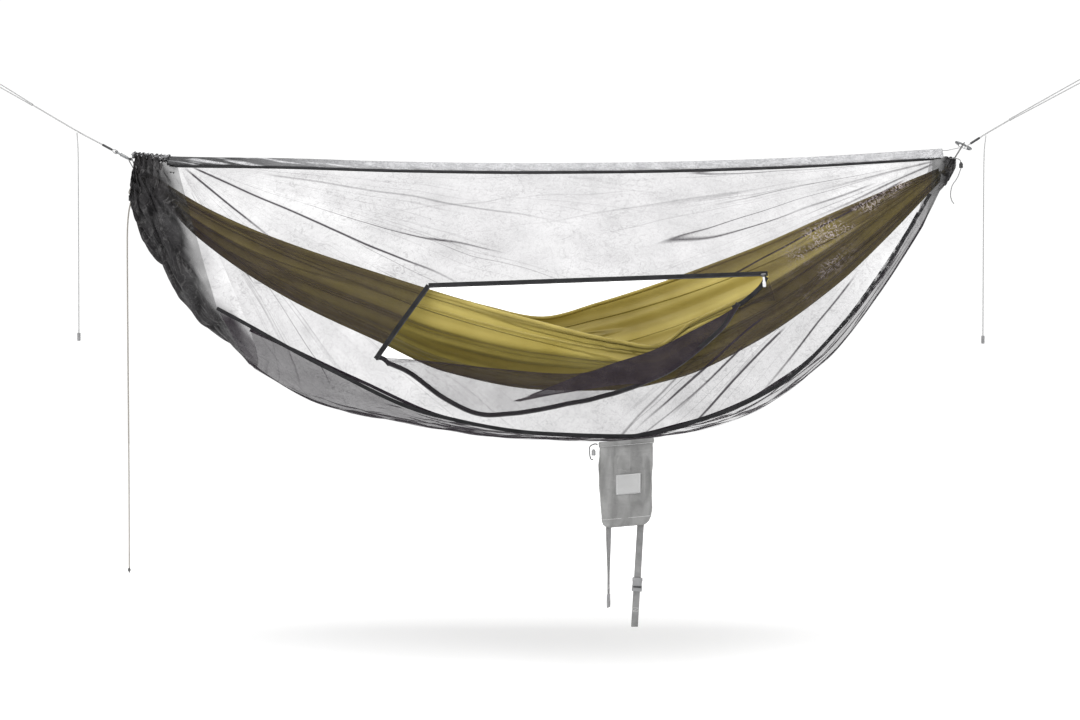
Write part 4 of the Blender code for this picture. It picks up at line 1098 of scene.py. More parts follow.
def wall_folds(x, z, side):
    """Outward shift of a wall from its smooth shape, and how gathered the mesh is there."""
    seed = 3.1 if side < 0 else 11.7
    left, left_fold = fan(x, z, LEFT_CORNER, 9.0, seed)
    right, right_fold = fan(x, z, RIGHT_CORNER, 9.0, seed + 2.0)
    low = (ridge_z(x) - z) / max(ridge_z(x) - seam_z(min(max(x, SEAM_LEFT), SEAM_RIGHT)), 0.05)
    drape = crest(ripple(x * 1.3 + low, low * 5.5 - x * 0.6, seed + 4.0), 4.2)
    hang = crest(ripple(x * 5.5 + z * 1.4, z * 1.2, seed + 9.0), 4.6)
    small = ripple(x * 24, z * 24, seed + 1.0)
    fold = 1.15 * left * left_fold + 1.15 * right * right_fold + 0.30 * drape + 0.22 * hang
    fade = smooth((ridge_z(x) - z - 0.020) / 0.10)
    shift = fade * (0.0085 * (fold - 0.25) + 0.0016 * small)
    return shift, min(1.0, 0.9 * fold + 0.05 * small)


def wall_point(x, z, side, lift=0.0):
    shift, _ = wall_folds(x, z, side)
    return Vector((x, side * (wall_y(x, z) + shift + lift), z))


def panel_top(x):
    return ridge_z(x) - RIDGE_COVER_HEIGHT - 0.0035


def near_outline():
    """The near panel's outer edge, as (x, z), anticlockwise from its top left."""
    tops = [(x, panel_top(x)) for x in evenly(PANEL_LEFT, PANEL_RIGHT, 130)]
    lows = [(x, seam_z(x)) for x in evenly(SEAM_LEFT, SEAM_RIGHT, 170)]
    right = spread([tops[-1], lows[-1]], 12)[1:-1]
    left = spread([lows[0], tops[0]], 40)[1:-1]
    loop = tops + [tuple(p) for p in right] + lows[::-1] + [tuple(p) for p in left]
    return [Vector(p) for p in loop]


# The lower border of the open door hangs in a slack line below the flap's fold.
DOOR_LOWER = [(1.292, -0.897), (1.385, -0.903), (1.480, -0.912), (1.600, -0.926), (1.719, -0.938),
              (1.830, -0.946), (1.902, -0.944), (1.996, -0.914), (2.111, -0.876), (2.215, -0.825),
              (2.330, -0.765), (2.410, -0.712), (2.464, -0.664)]


def door_outline():
    """The door's opening, as (x, z): zip corner, top, right end, slack lower border, side."""
    top = spread([DOOR_CORNER, (DOOR_TOP_END[0] - 0.004, DOOR_TOP_END[1])], 90)
    lower = spread(route([(x, z, 0.0) for x, z in DOOR_LOWER], 200), 110)[::-1]
    side = spread([DOOR_LOWER[0], DOOR_CORNER], 26)[1:-1]
    return [Vector((p[0], p[1])) for p in top + lower + side]


def inside(points, polygon):
    """Which points lie in a polygon, by counting crossings."""
    hit = np.zeros(len(points), bool)
    for (x0, z0), (x1, z1) in zip(polygon, np.roll(polygon, -1, axis=0)):
        if z0 == z1:
            continue
        across = (z0 > points[:, 1]) != (z1 > points[:, 1])
        at = x0 + (points[:, 1] - z0) / (z1 - z0) * (x1 - x0)
        hit ^= across & (points[:, 0] < at)
    return hit


def near_to(points, polygon, distance):
    close = np.zeros(len(points), bool)
    for corner in polygon:
        close |= np.hypot(points[:, 0] - corner[0], points[:, 1] - corner[1]) < distance
    return close


def near_extra(x, z):
    """How much more light the near wall holds back: slack low in its middle, pulled thin at both ends."""
    low = (ridge_z(x) - z) / max(ridge_z(x) - seam_z(x), 0.05)
    slack = 0.08 * smooth((low - 0.55) / 0.35) * math.exp(-((x - 2.15) / 0.45) ** 2)
    pulled = 0.045 * math.exp(-((x - 0.98) / 0.30) ** 2) * smooth((0.7 - low) / 0.4)
    return slack - pulled - 0.06 * math.exp(-((x - 2.86) / 0.16) ** 2)


def near_panel():
    """The near wall, cut as triangles round the door's opening."""
    outer, door = near_outline(), door_outline()
    outer_np, door_np = np.array(outer), np.array(door)
    step = 0.0125
    xs, zs = np.meshgrid(np.arange(0.60, 3.06, step), np.arange(-1.14, -0.25, step * 0.87))
    xs[::2] += step / 2
    filling = np.stack([xs.ravel(), zs.ravel()], axis=1)
    keep = inside(filling, outer_np) & ~inside(filling, door_np)
    keep &= ~near_to(filling, outer_np, step * 0.6) & ~near_to(filling, door_np, step * 0.6)
    points = outer + door + [Vector(p) for p in filling[keep]]
    n, m = len(outer), len(door)
    edges = [(k, (k + 1) % n) for k in range(n)] + [(n + k, n + (k + 1) % m) for k in range(m)]
    flat, _, triangles, *_ = geometry.delaunay_2d_cdt(points, edges, [], 0, 1e-6)
    flat_np = np.array(flat)
    middles = np.array([flat_np[list(t)].mean(axis=0) for t in triangles])
    wanted = inside(middles, outer_np) & ~inside(middles, door_np)
    verts = [wall_point(x, z, -1) for x, z in flat]
    faces = [tuple(t) for t, w in zip(triangles, wanted) if w]
    panel = mesh_piece("near_wall", verts, faces, near_mesh)
    set_values(panel, "gathered", [wall_folds(x, z, -1)[1] for x, z in flat])
    set_values(panel, "extra", [near_extra(x, z) for x, z in flat])
    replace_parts(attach(panel, ROOT), "net_near_panel")
    return panel


def far_panel():
    columns, rows = 200, 64
    grid, gathered = [], []
    for i in range(columns + 1):
        top_x = mixed_between(PANEL_LEFT, PANEL_RIGHT, i / columns)
        low_x = mixed_between(SEAM_LEFT, SEAM_RIGHT, i / columns)
        top, low = panel_top(top_x), seam_line(low_x, 1)
        row = []
        for r in range(rows + 1):
            x = mixed_between(top_x, low_x, r / rows)
            z = mixed_between(top, low, r / rows)
            row.append(wall_point(x, z, 1))
            gathered.append(wall_folds(x, z, 1)[1])
        grid.append(row)
    panel = loft("far_wall", grid, wall_mesh)
    set_values(panel, "gathered", gathered)
    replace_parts(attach(panel, ROOT), "net_far_panel")
    return panel


def bottom_point(share, v):
    """A place on the net's floor: share runs from left to right, v from the near seam to the far one."""
    seam_x = mixed_between(SEAM_LEFT, SEAM_RIGHT, share)
    low_x = mixed_between(edge_x(LEFT_EDGE, -0.93), edge_x(RIGHT_EDGE, -0.43), share)
    sag = 1.0 - v * v
    side = -1 if v < 0 else 1
    edge = wall_point(seam_x, seam_line(seam_x, side), side)
    x = mixed_between(seam_x, low_x, sag)
    z = mixed_between(edge.z, floor_z(low_x), sag)
    lengthwise = crest(ripple(v * 5.0 + share * 2.0, share * 3.2, 21.0), 3.6)
    slanted = crest(ripple(v * 3.0 - share * 9.0, v * 2.0 + share * 4.0, 27.0), 4.2)
    fold = 0.75 * lengthwise + 0.45 * slanted
    ends = math.exp(-share / 0.10) + math.exp(-(1.0 - share) / 0.10)
    gathered = min(1.0, 0.35 + 0.55 * fold + 0.35 * ends)
    z += 0.011 * (fold - 0.3) * min(1.0, 2.5 * sag)
    return Vector((x, abs(edge.y) * v, z)), gathered


def floor_extra(share):
    """How much more light the floor holds back where it is pushed together."""
    left = 0.185 * math.exp(-(share / 0.26) ** 2) + 0.10 * math.exp(-((share - 0.27) / 0.12) ** 2)
    return left + 0.10 * math.exp(-((1 - share) / 0.25) ** 2)


def bottom_panel():
    columns, half = 190, 22
    grid, gathered, extra = [], [], []
    for i in range(columns + 1):
        row = []
        for k in range(-half, half + 1):
            point, dense = bottom_point(i / columns, k / half)
            row.append(point)
            gathered.append(dense)
            extra.append(floor_extra(i / columns))
        grid.append(row)
    panel = loft("net_floor", grid, wall_mesh)
    set_values(panel, "gathered", gathered)
    set_values(panel, "extra", extra)
    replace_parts(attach(panel, ROOT), "net_bottom_panel")
    return panel


def end_loop_line(share, count):
    """The net's closed outline at a slanted end, from the ridge down the near side and back up."""
    low_x = SEAM_LEFT if share == 0.0 else SEAM_RIGHT
    top_x = PANEL_LEFT if share == 0.0 else PANEL_RIGHT
    top, low, far_low = panel_top(top_x), seam_z(low_x), seam_line(low_x, 1)
    near = [wall_point(mixed_between(top_x, low_x, t), mixed_between(top, low, t), -1)
            for t in evenly(0.0, 1.0, 40)]
    floor = [bottom_point(share, v)[0] for v in evenly(-1.0, 1.0, 41)]
    far = [wall_point(mixed_between(top_x, low_x, t), mixed_between(top, far_low, t), 1)
           for t in evenly(1.0, 0.0, 40)]
    peak = Vector((top_x, 0.0, ridge_z(top_x) - RIDGE_COVER_HEIGHT * 0.6))
    return spread([peak] + near + floor[1:-1] + far + [peak], count + 1)[:-1]


def funnel_rings(rings, mouth, count, turns):
    """Rings between given ones and a mouth line, each with its points at the same shares."""
    outlines = []
    for top, bottom, depth in rings:
        top, bottom = Vector((top[0], 0.0, top[1])), Vector((bottom[0], 0.0, bottom[1]))
        centre, up = (top + bottom) / 2, (top - bottom) / 2
        loop = []
        for a in evenly(0.0, 2 * math.pi, 241):
            narrow = 0.78 - 0.22 * math.cos(a)
            loop.append(centre + up * math.cos(a) - Vector((0.0, depth * math.sin(a) * narrow, 0.0)))
        outlines.append(spread(loop, turns + 1)[:-1])
    outlines.append(mouth)
    stack = np.array([[tuple(p) for p in line] for line in outlines])
    at = np.linspace(0.0, len(outlines) - 1.0, count)
    low = np.minimum(at.astype(int), len(outlines) - 2)
    t = (at - low)[:, None, None]
    return stack[low] * (1 - t) + stack[low + 1] * t


def ruched(rings, folds, height, seed):
    """Pushes rings of cloth in and out so that they pile up in soft rolls."""
    count, turns = rings.shape[:2]
    rows, gathered = [], []
    for i in range(count):
        share = i / (count - 1)
        centre = rings[i].mean(axis=0)
        calm = smooth((1.0 - share) / 0.08) * (0.4 + 0.6 * smooth(share / 0.15))
        row = []
        for k, (c, s) in enumerate(circle(turns)):
            drift = noise.noise(Vector((1.6 * c, 1.6 * s, share * 2.2 + seed)))
            phase = share * folds + 1.15 * drift + 0.5 * noise.noise(Vector((4 * c, 4 * s, seed + share)))
            roll = abs(math.sin(math.pi * phase)) ** 0.8
            pinch = noise.noise(Vector((9 * c, 9 * s, share * 10 + seed)))
            tuck = crest(noise.noise(Vector((6 * c, 6 * s, share * 4 + seed + 3.0))), 3.0)
            out = (height * (roll - 0.55) + 0.22 * height * pinch - 0.35 * height * tuck) * calm
            away = rings[i][k] - centre
            away = away / max(np.linalg.norm(away), 1e-6)
            row.append(Vector(rings[i][k] + away * out))
            gathered.append(min(1.0, max(0.0, 1.05 - roll * 0.9 + 0.3 * pinch)))
        rows.append(row)
    return rows, gathered


def left_bunch_thin(share, k, turn):
    """How much less light the bunch holds back: along its mouth, and most on its far side."""
    start = 0.86 + 0.14 * ripple(k * 0.17, 0.0, 12.0)
    near_side = 1.0 - smooth((turn - 0.34) / 0.08)
    thin = 0.37 * smooth((share - 0.50) / 0.42) * smooth((turn - 0.60) / 0.06)
    thin += 0.06 * smooth((share - 0.86) / 0.14)
    return thin + 0.11 * near_side * smooth((share - start) / 0.10)


def left_bunch():
    """Net pushed together round the left end of the hammock, in piled-up rolls."""
    count, turns = 92, 132
    rings = [((0.488, -0.250), (0.482, -0.292), 0.012), ((0.485, -0.248), (0.476, -0.345), 0.034),
             ((0.488, -0.250), (0.470, -0.405), 0.054), ((0.496, -0.252), (0.492, -0.478), 0.080),
             ((0.508, -0.254), (0.522, -0.545), 0.112), ((0.522, -0.257), (0.580, -0.610), 0.142),
             ((0.540, -0.261), (0.634, -0.716), 0.176), ((0.558, -0.266), (0.702, -0.795), 0.212),
             ((0.578, -0.272), (0.792, -0.850), 0.246)]
    mouth = end_loop_line(0.0, turns)
    rows, gathered = ruched(funnel_rings(rings, mouth, count, turns), 6.5, 0.026, 5.0)
    piece = loft("left_bunch", rows, bunch_mesh, ring=True)
    set_values(piece, "gathered", gathered)
    opened = [-left_bunch_thin(i / (count - 1), k, k / turns) for i in range(count) for k in range(turns)]
    set_values(piece, "extra", opened)
    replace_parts(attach(piece, ROOT), "net_left_bunch")
    return piece


def right_bunch():
    count, turns = 40, 96
    rings = [((3.106, -0.262), (3.104, -0.292), 0.010), ((3.098, -0.258), (3.094, -0.310), 0.020),
             ((3.080, -0.256), (3.076, -0.342), 0.032), ((3.062, -0.258), (3.052, -0.364), 0.042)]
    mouth = end_loop_line(1.0, turns)
    rows, gathered = ruched(funnel_rings(rings, mouth, count, turns), 4.5, 0.007, 8.0)
    piece = loft("right_bunch", rows, bunch_mesh, ring=True)
    set_values(piece, "gathered", gathered)
    thin = [0.17 * smooth((i / (count - 1) - 0.45) / 0.45) for i in range(count)]
    set_values(piece, "extra", [-value for value in thin for _ in range(turns)])
    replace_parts(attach(piece, ROOT), "net_right_gather")
    return piece


def wall_tape(name, places, side, width, node=None, lift=0.0016, body=ROOT, mat=tape):
    """Tape sewn along places, as (x, z), on a wall, which it follows."""
    centres = [wall_point(x, z, side, lift) for x, z in places]
    across = []
    for i, (x, z) in enumerate(places):
        x0, z0 = places[max(i - 1, 0)]
        x1, z1 = places[min(i + 1, len(places) - 1)]
        run = Vector((x1 - x0, z1 - z0)).normalized()
        half = width / 2
        a = wall_point(x - run.y * half, z + run.x * half, side, lift)
        b = wall_point(x + run.y * half, z - run.x * half, side, lift)
        across.append((a - b) / 2)
    piece = band(name, centres, across, TAPE_THICKNESS, mat)
    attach(piece, body)
    if node:
        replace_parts(piece, node)
    return piece


def net_tapes():
    xs = evenly(SEAM_LEFT, SEAM_RIGHT, 240)
    for side, word in ((-1, "near"), (1, "far")):
        wall_tape(word + "_seam_tape", [(x, seam_line(x, side)) for x in xs], side, TAPE_WIDTH,
                  "seam_tape_" + word, mat=seam_tape)
        tops = [(x, ridge_z(x) - RIDGE_TAPE_DROP[side]) for x in evenly(0.612, 3.030, 160)]
        wall_tape(word + "_ridge_tape", tops, side, RIDGE_TAPE_WIDTH, "ridge_tape_" + word)


def ridge_strip():
    """The silver strip folded over the ridge line, wrinkled where the net pulls on it."""
    half = [(0.0165, -STRIP_DEPTH), (0.0150, -0.0250), (0.0118, -0.0175), (0.0078, -0.0105),
            (0.0036, -0.0040)]
    fold = [(-y, z) for y, z in half] + [(0.0, -0.0012)] + half[::-1]
    rows = []
    for x in evenly(0.585, 3.062, 420):
        row = []
        for y, z in fold:
            low = -z / STRIP_DEPTH
            pucker = ripple(x * 38, low * 2.2, 31.0) * 0.0026 + ripple(x * 95, low * 5, 33.0) * 0.0011
            pucker *= low
            row.append(Vector((x, y + math.copysign(1, y) * pucker, ridge_z(x) + z + 0.3 * pucker)))
        rows.append(row)
    strip = thicken(loft("ridge_strip", rows, silver_strip), 0.0006)
    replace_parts(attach(strip, ROOT), "ridge_cover")
    points = [Vector((x, 0.0, ridge_z(x) - 0.0075)) for x in evenly(0.466, 3.080, 60)]
    line = cord_piece("ridge_cord", points + [Vector((3.118, 0.0, -0.2265))], 0.0014, cord_grey)
    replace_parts(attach(line, ROOT), "ridge_line")
    return strip


def ridge_ruffle():
    """The pushed-together left end of the silver strip."""
    rows = []
    count, turns = 90, 30
    for i in range(count + 1):
        share = i / count
        x = mixed_between(0.470, 0.588, share)
        roll = abs(math.sin(math.pi * share * 8.5 + 0.5 * ripple(share * 7, 0.0, 3.0)))
        row = []
        for c, s in circle(turns):
            pinch = noise.noise(Vector((2.5 * c, 2.5 * s, share * 14)))
            radius = 0.0062 + 0.0050 * roll + 0.0042 * pinch + 0.0020 * share
            lean = 0.004 * s * roll
            row.append(Vector((x + lean, radius * c, ridge_z(x) - 0.0085 + radius * 0.95 * s)))
        rows.append(row)
    piece = loft("ridge_ruffle", rows, silver_ruffle, ring=True)
    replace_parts(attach(piece, ROOT), "ridge_gather")


# ---------------------------------------------------------------- hammock cloth
def hammock_point(x, v):
    """A place on the hammock: v runs from the near rim at -1 to the far rim at 1."""
    t = (x - HAMMOCK_LEFT + 0.02) / (HAMMOCK_RIGHT - HAMMOCK_LEFT + 0.04)
    half = HAMMOCK_HALF_WIDTH * math.sin(math.pi * t) ** 0.8
    low = keel_z(x)
    rim = near_rim_z(x) if v < 0 else far_rim_z(x)
    reach = min(half, wall_y(x, rim) - HAMMOCK_CLEARANCE)
    place = Vector((x, reach * math.sin(v * math.pi / 2), low + (rim - low) * abs(v) ** 1.9))
    left, right = math.exp(-(x - HAMMOCK_LEFT) / 0.42), math.exp(-(HAMMOCK_RIGHT - x) / 0.60)
    ends = min(1.0, left + right)
    along = (x - HAMMOCK_LEFT) / (HAMMOCK_RIGHT - HAMMOCK_LEFT)
    pleat = ripple(v * 6.0, along * 1.6, 41.0)
    fine = ripple(v * 17.0, along * 2.6, 47.0)
    slack = ripple(v * 2.6 + x * 1.6, x * 2.4 - v * 1.2, 53.0)
    height = (0.018 + 0.020 * ends) * pleat + (0.008 + 0.008 * ends) * fine + 0.006 * (1 - ends) * slack
    crumple = math.exp(-((x - 2.10) / 0.20) ** 2) * math.exp(-((v + 0.92) / 0.30) ** 2)
    height += crumple * (0.010 * ripple(x * 17, v * 5, 61.0) + 0.006 * ripple(x * 40, v * 9, 67.0))
    width = max(reach, 0.02)
    turn = v * math.pi / 2
    normal = Vector((0.0, math.sin(turn) * width * 0.9, -(width * math.cos(turn) + 0.10)))
    normal.normalize()
    fits = min(1.0, width / 0.16 + 0.15)
    edge = 1.0 - 0.55 * smooth((abs(v) - 0.8) / 0.2)
    return place + normal * height * fits * edge


def hammock_cloth():
    stations = [HAMMOCK_LEFT + (HAMMOCK_RIGHT - HAMMOCK_LEFT) * i / 260 for i in range(261)]
    across = evenly(-1.0, 1.0, 181)
    rows = [[hammock_point(x, v) for v in across] for x in stations]
    cloth = loft("hammock_cloth", rows, hammock_olive)
    set_values(cloth, "across", [v for _ in stations for v in across])
    cloth = thicken(cloth, 0.0008)
    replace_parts(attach(cloth, ROOT), "hammock_body")
    trims = []
    for name, v, width, lift in (("near_hem", -1.0, 0.012, 0.0014), ("far_hem", 1.0, 0.012, 0.0014),
                                 ("near_panel_seam", -0.86, 0.007, 0.0012),
                                 ("far_panel_seam", 0.86, 0.007, 0.0012)):
        centres, halves = [], []
        for x in stations[4:-4]:
            here = hammock_point(x, v)
            inner = hammock_point(x, v * 0.97) - here
            inner.normalize()
            ahead = hammock_point(x + 0.01, v) - here
            out = ahead.cross(inner)
            out.normalize()
            if out.z > 0:
                out = -out
            centre = here + (inner * width / 2 if abs(v) == 1.0 else Vector((0, 0, 0)))
            centres.append(centre + out * lift)
            halves.append(inner * width / 2)
        trims.append(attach(band(name, centres, halves, 0.0009, olive, 2), ROOT))
    return cloth, trims


# ---------------------------------------------------------------- door
def on_wall(x, z, standoff):
    return Vector((x, -wall_y(x, z) - standoff, z))


def zip_teeth(name, points, body, solid=False):
    """The coil along a zip tape's free edge."""
    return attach(cord_piece(name, points, ZIP_COIL, black_plastic, solid=solid), body)


def door_zips():
    top = [tuple(p) for p in spread([DOOR_CORNER, (2.462, DOOR_TOP_END[1])], 120)]
    wall_tape("zip_tape_top", top, -1, ZIP_TAPE_WIDTH, "door_zip_top", 0.0030)
    low = [(x, z - 0.0064) for x, z in top]
    zip_teeth("zip_coil_top", [wall_point(x, z, -1, 0.0030) for x, z in low], ROOT)
    side = [tuple(p) for p in spread([DOOR_CORNER, (1.290, -0.903)], 34)]
    wall_tape("zip_tape_side", side, -1, 0.0145, "door_zip_side", 0.0034)
    inner = [(x + 0.0060, z - 0.0034) for x, z in side]
    zip_teeth("zip_coil_side", [wall_point(x, z, -1, 0.0034) for x, z in inner], ROOT)


def zip_ends():
    """The short fixed lengths of the zip between the flap and each end of the door."""
    right = [(2.350, -0.751), (2.388, -0.729), (2.434, -0.690), (2.458, -0.656)]
    left = [(1.290, -0.900), (1.302, -0.899), (1.316, -0.904), (1.332, -0.920)]
    for name, points in (("zip_tape_right", right), ("zip_tape_left", left)):
        line = [(p.x, p.z) for p in route([(x, 0.0, z) for x, z in points], 24)]
        piece = wall_tape(name, line, -1, 0.0135, None, 0.0042)


def flap_axis():
    return on_wall(*FLAP_LEFT, FLAP_STANDOFF), on_wall(*FLAP_RIGHT, FLAP_STANDOFF)


def flap_frame():
    left, right = flap_axis()
    along = (right - left).normalized()
    down = Vector((0.0, -FLAP_LEAN, -1.0))
    down = (down - along * down.dot(along)).normalized()
    turn = Matrix((along, down, along.cross(down))).transposed().to_4x4()
    turn.translation = left
    return turn, (right - left).length


FLAP_CORNERS = [(0.010, 0.010), (0.070, 0.056), (0.150, 0.148), (0.250, 0.222), (0.360, 0.241),
                (0.520, 0.238), (0.660, 0.229), (0.790, 0.202), (0.900, 0.149), (1.000, 0.088)]

# Where the flap's mesh lies folded on itself: the upper and lower borders of that part, and where it starts.
DOUBLED_TOP = [(1.60, -1.064), (1.68, -1.032), (1.80, -0.986), (1.90, -0.944), (2.00, -0.880), (2.60, -0.50)]
DOUBLED_LOW = [(1.60, -1.052), (1.68, -1.034), (1.84, -1.003), (2.07, -0.975), (2.12, -1.10), (2.60, -1.50)]
DOUBLED_FROM = 1.66


def flap_line(length):
    points = route([(x, y, 0.0) for x, y in FLAP_CORNERS + [(length - 0.030, 0.010)]], 160)
    xs, ys = np.array([p.x for p in points]), np.array([p.y for p in points])
    order = np.argsort(xs)
    return lambda u: float(np.interp(u, xs[order], ys[order]))


def flap():
    """The unzipped part of the wall, hanging from its fold, with half the zip on its edge."""
    turn, length = flap_frame()
    depth = flap_line(length)
    columns, rows = 150, 22
    crease = height_along(DOOR_LOWER)
    over, under = height_along(DOUBLED_TOP), height_along(DOUBLED_LOW)
    grid, gathered, below, doubled = [], [], [], []

    def place(u, share):
        v = depth(u) * share
        slack = smooth(min(u, length - u) / 0.16)
        out = 0.010 * ripple(u * 7, share * 1.5, 71.0) + 0.007 * ripple(u * 15 + share * 2, share * 3, 73.0)
        return turn @ Vector((u, v, out * share * slack))

    for i in range(columns + 1):
        u = 0.010 + (length - 0.040) * i / columns
        row = []
        for r in range(rows + 1):
            share = r / rows
            point = place(u, share)
            row.append(point)
            fold = crest(ripple(u * 9 + share * 1.5, share * 2.0, 77.0), 3.6)
            gathered.append(min(1.0, 0.15 + 0.7 * fold + 0.4 * share ** 3))
            below.append(crease(point.x) - point.z)
            doubled.append(min(over(point.x) - point.z, point.z - under(point.x),
                               0.3 * (point.x - DOUBLED_FROM)))
        grid.append(row)
    cloth = loft("flap_cloth", grid, flap_mesh)
    set_values(cloth, "gathered", gathered)
    set_values(cloth, "below_crease", below)
    set_values(cloth, "doubled", doubled)
    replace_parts(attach(cloth, "flap"), "door_flap")
    normal = (turn.to_3x3() @ Vector((0.0, 0.0, 1.0))).normalized()
    edge = [place(0.010 + (length - 0.040) * i / columns, 1.0) for i in range(columns + 1)]
    centres, halves = [], []
    for i, point in enumerate(edge):
        ahead = (edge[min(i + 1, columns)] - edge[max(i - 1, 0)]).normalized()
        inward = normal.cross(ahead).normalized()
        if inward.z < 0:
            inward = -inward
        centres.append(point + inward * 0.0066 + normal * 0.0014)
        halves.append(inward * 0.0068)
    strip = band("flap_tape", centres, halves, TAPE_THICKNESS, tape)
    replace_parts(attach(strip, "flap"), "flap_zip_tape")
    coil = zip_teeth("flap_coil", [p + normal * 0.0014 for p in edge], "flap", solid=True)
    for piece in (cloth, strip, coil):
        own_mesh(piece)
    return cloth


SLACK_PATCHES = 8
SLACK_STEPS = 12                # points along one patch of the slack
SLACK_REACH = 0.012             # how far the slack reaches down behind the flap when the door is open


def door_slack():
    """Mesh from the door's slack lower border to the flap, cut in patches.

    It is cut in patches, because a piece blends between two bodies along one straight direction.
    """
    turn, _ = flap_frame()
    back = turn.inverted()
    border = route([(x, 0.0, z) for x, z in DOOR_LOWER], SLACK_PATCHES * SLACK_STEPS + 1)
    hems, edges = [], []
    for place in border:
        hem = wall_point(place.x, place.z, -1, 0.0035)
        local = back @ hem
        reach = 0.001 + SLACK_REACH * smooth(local.x / 0.09)
        hems.append(hem)
        edges.append(turn @ Vector((max(local.x, 0.006), max(local.y, 0.003) + reach, 0.003)))
    for k in range(SLACK_PATCHES):
        part = slice(SLACK_STEPS * k, SLACK_STEPS * (k + 1) + 1)
        rows = [[hem.lerp(edge, t / 8) for t in range(9)] for hem, edge in zip(hems[part], edges[part])]
        piece = loft("door_slack_%d" % k, rows, slack_mesh)
        middle = SLACK_STEPS * k + SLACK_STEPS // 2
        reach = edges[middle] - hems[middle]
        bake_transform(piece)


def slider_and_pull():
    start, end = on_wall(*DOOR_CORNER, 0.0045), on_wall(*DOOR_TOP_END, 0.0045)
    along = (end - start).normalized()
    place = start.lerp(end, 1.0 - 0.020 / (end - start).length)
    up = -along.cross(FORE_AND_AFT).normalized()
    if up.z < 0:
        up = -up
    out = up.cross(along).normalized()
    if out.y > 0:
        out = -out
    turn = Matrix((along, up, out)).transposed().to_4x4()
    turn.translation = place
    shell = [(-0.0078, -0.0030), (-0.0078, 0.0030), (-0.0030, 0.0050), (0.0040, 0.0056),
             (0.0078, 0.0046), (0.0078, -0.0046), (0.0040, -0.0056), (-0.0030, -0.0050)]
    body = []
    for depth in (0.0022, -0.0018):
        shift = Matrix.Translation((0.0, -0.0045, depth))
        body.append(moulded("slider_shell_%d" % len(body), shell, 0.0014, turn @ shift, grey_plastic,
                            0.0004))
    bridge = [turn @ Vector((x, -0.0045, z)) for x, z in ((-0.0052, 0.0026), (-0.0046, 0.0050),
                                                          (-0.0010, 0.0060), (0.0030, 0.0050),
                                                          (0.0036, 0.0026))]
    body.append(cord_piece("slider_bridge", bridge, 0.0009, grey_plastic))
    post = [turn @ Vector((0.0040, -0.0045, z)) for z in (-0.0018, 0.0022)]
    body.append(cord_piece("slider_post", post, 0.0012, grey_plastic))
    for piece in body:
        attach(piece, "slider")
    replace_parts(body[0], "zip_slider")
    pivot = on_wall(2.448, -0.657, 0.0120)
    lean = math.atan2(0.52, 1.0)
    hang = Matrix.Translation(pivot) @ Matrix.Rotation(math.radians(90) - lean, 4, "X")
    outline = [(-0.0030, 0.0006), (0.0030, 0.0006), (0.0034, -0.0130), (0.0050, -0.0180),
               (0.0052, -0.0300), (0.0036, -0.0340), (-0.0036, -0.0340), (-0.0052, -0.0300),
               (-0.0050, -0.0180), (-0.0034, -0.0130)]
    tab = moulded("pull_tab", outline, 0.0022, hang, silver, 0.0006)
    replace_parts(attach(tab, "pull"), "zip_pull")


# ---------------------------------------------------------------- stuff sack
SACK_Y = -wall_y(SACK_CENTRE_X, seam_z(SACK_CENTRE_X)) - 0.0028


def sack_ring(depth, half_width, half_depth, count, crumple=0.0):
    row = []
    for c, s in circle(count):
        x = half_width * rounded(c, 0.45)
        y = half_depth * rounded(s, 0.6)
        n = noise.noise(Vector((x * 26, y * 26, depth * 9)))
        m = noise.noise(Vector((x * 60, y * 60, depth * 30)))
        drop = noise.noise(Vector((x * 48 + depth * 5, y * 20, depth * 4 + 9.0)))
        away = Vector((c * 0.4, s, 0.0)).normalized() * crumple * (n + 0.45 * m + 0.9 * drop)
        row.append(Vector((SACK_CENTRE_X + x, SACK_Y + y, SACK_TOP_Z - depth + SACK_SLOPE * x)) + away)
    return row


def stuff_sack():
    w, d = SACK_WIDTH / 2, SACK_DEPTH / 2
    stations = [(0.000, w - 0.002, 0.0062), (0.022, w - 0.0025, 0.0085), (0.060, w - 0.002, d * 0.74),
                (0.110, w - 0.001, d * 0.96), (0.160, w - 0.002, d), (0.205, w - 0.004, d * 0.95),
                (0.230, w - 0.008, d * 0.82), (0.243, w - 0.014, d * 0.60), (0.249, w - 0.021, d * 0.40),
                (SACK_HEIGHT, w - 0.027, d * 0.20)]
    depths, half_widths, half_depths = zip(*stations)
    rows = []
    for depth in evenly(0.0, SACK_HEIGHT, 80):
        half_width = float(np.interp(depth, depths, half_widths))
        half_depth = float(np.interp(depth, depths, half_depths))
        crumple = 0.0052 * smooth(depth / 0.03) * (1.0 - 0.6 * smooth((depth - 0.24) / 0.02))
        rows.append(sack_ring(depth, half_width, half_depth, 96, crumple))
    sack = loft("sack_shell", rows, sack_nylon, ring=True, cap=True)
    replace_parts(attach(sack, "sack"), "stuff_sack")
    hem_rows = []
    for depth, grow in ((0.0146, 0.0006), (0.0142, 0.0016), (0.0085, 0.0021), (0.0020, 0.0018),
                        (-0.0006, 0.0010), (0.0004, 0.0002)):
        hem_rows.append(sack_ring(depth, w - 0.001 + grow, 0.0072 + grow, 96))
    hem = loft("sack_collar", hem_rows, sack_nylon, ring=True)
    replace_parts(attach(hem, "sack"), "sack_hem")
    for name, depth in (("sack_collar_stitch", 0.0128), ("sack_base_stitch", 0.2250)):
        line = sack_ring(depth, w + 0.0009, 0.0100 if depth < 0.1 else d * 0.93, 60)
        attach(cord_piece(name, line, STITCH, stitch_thread, True), "sack")


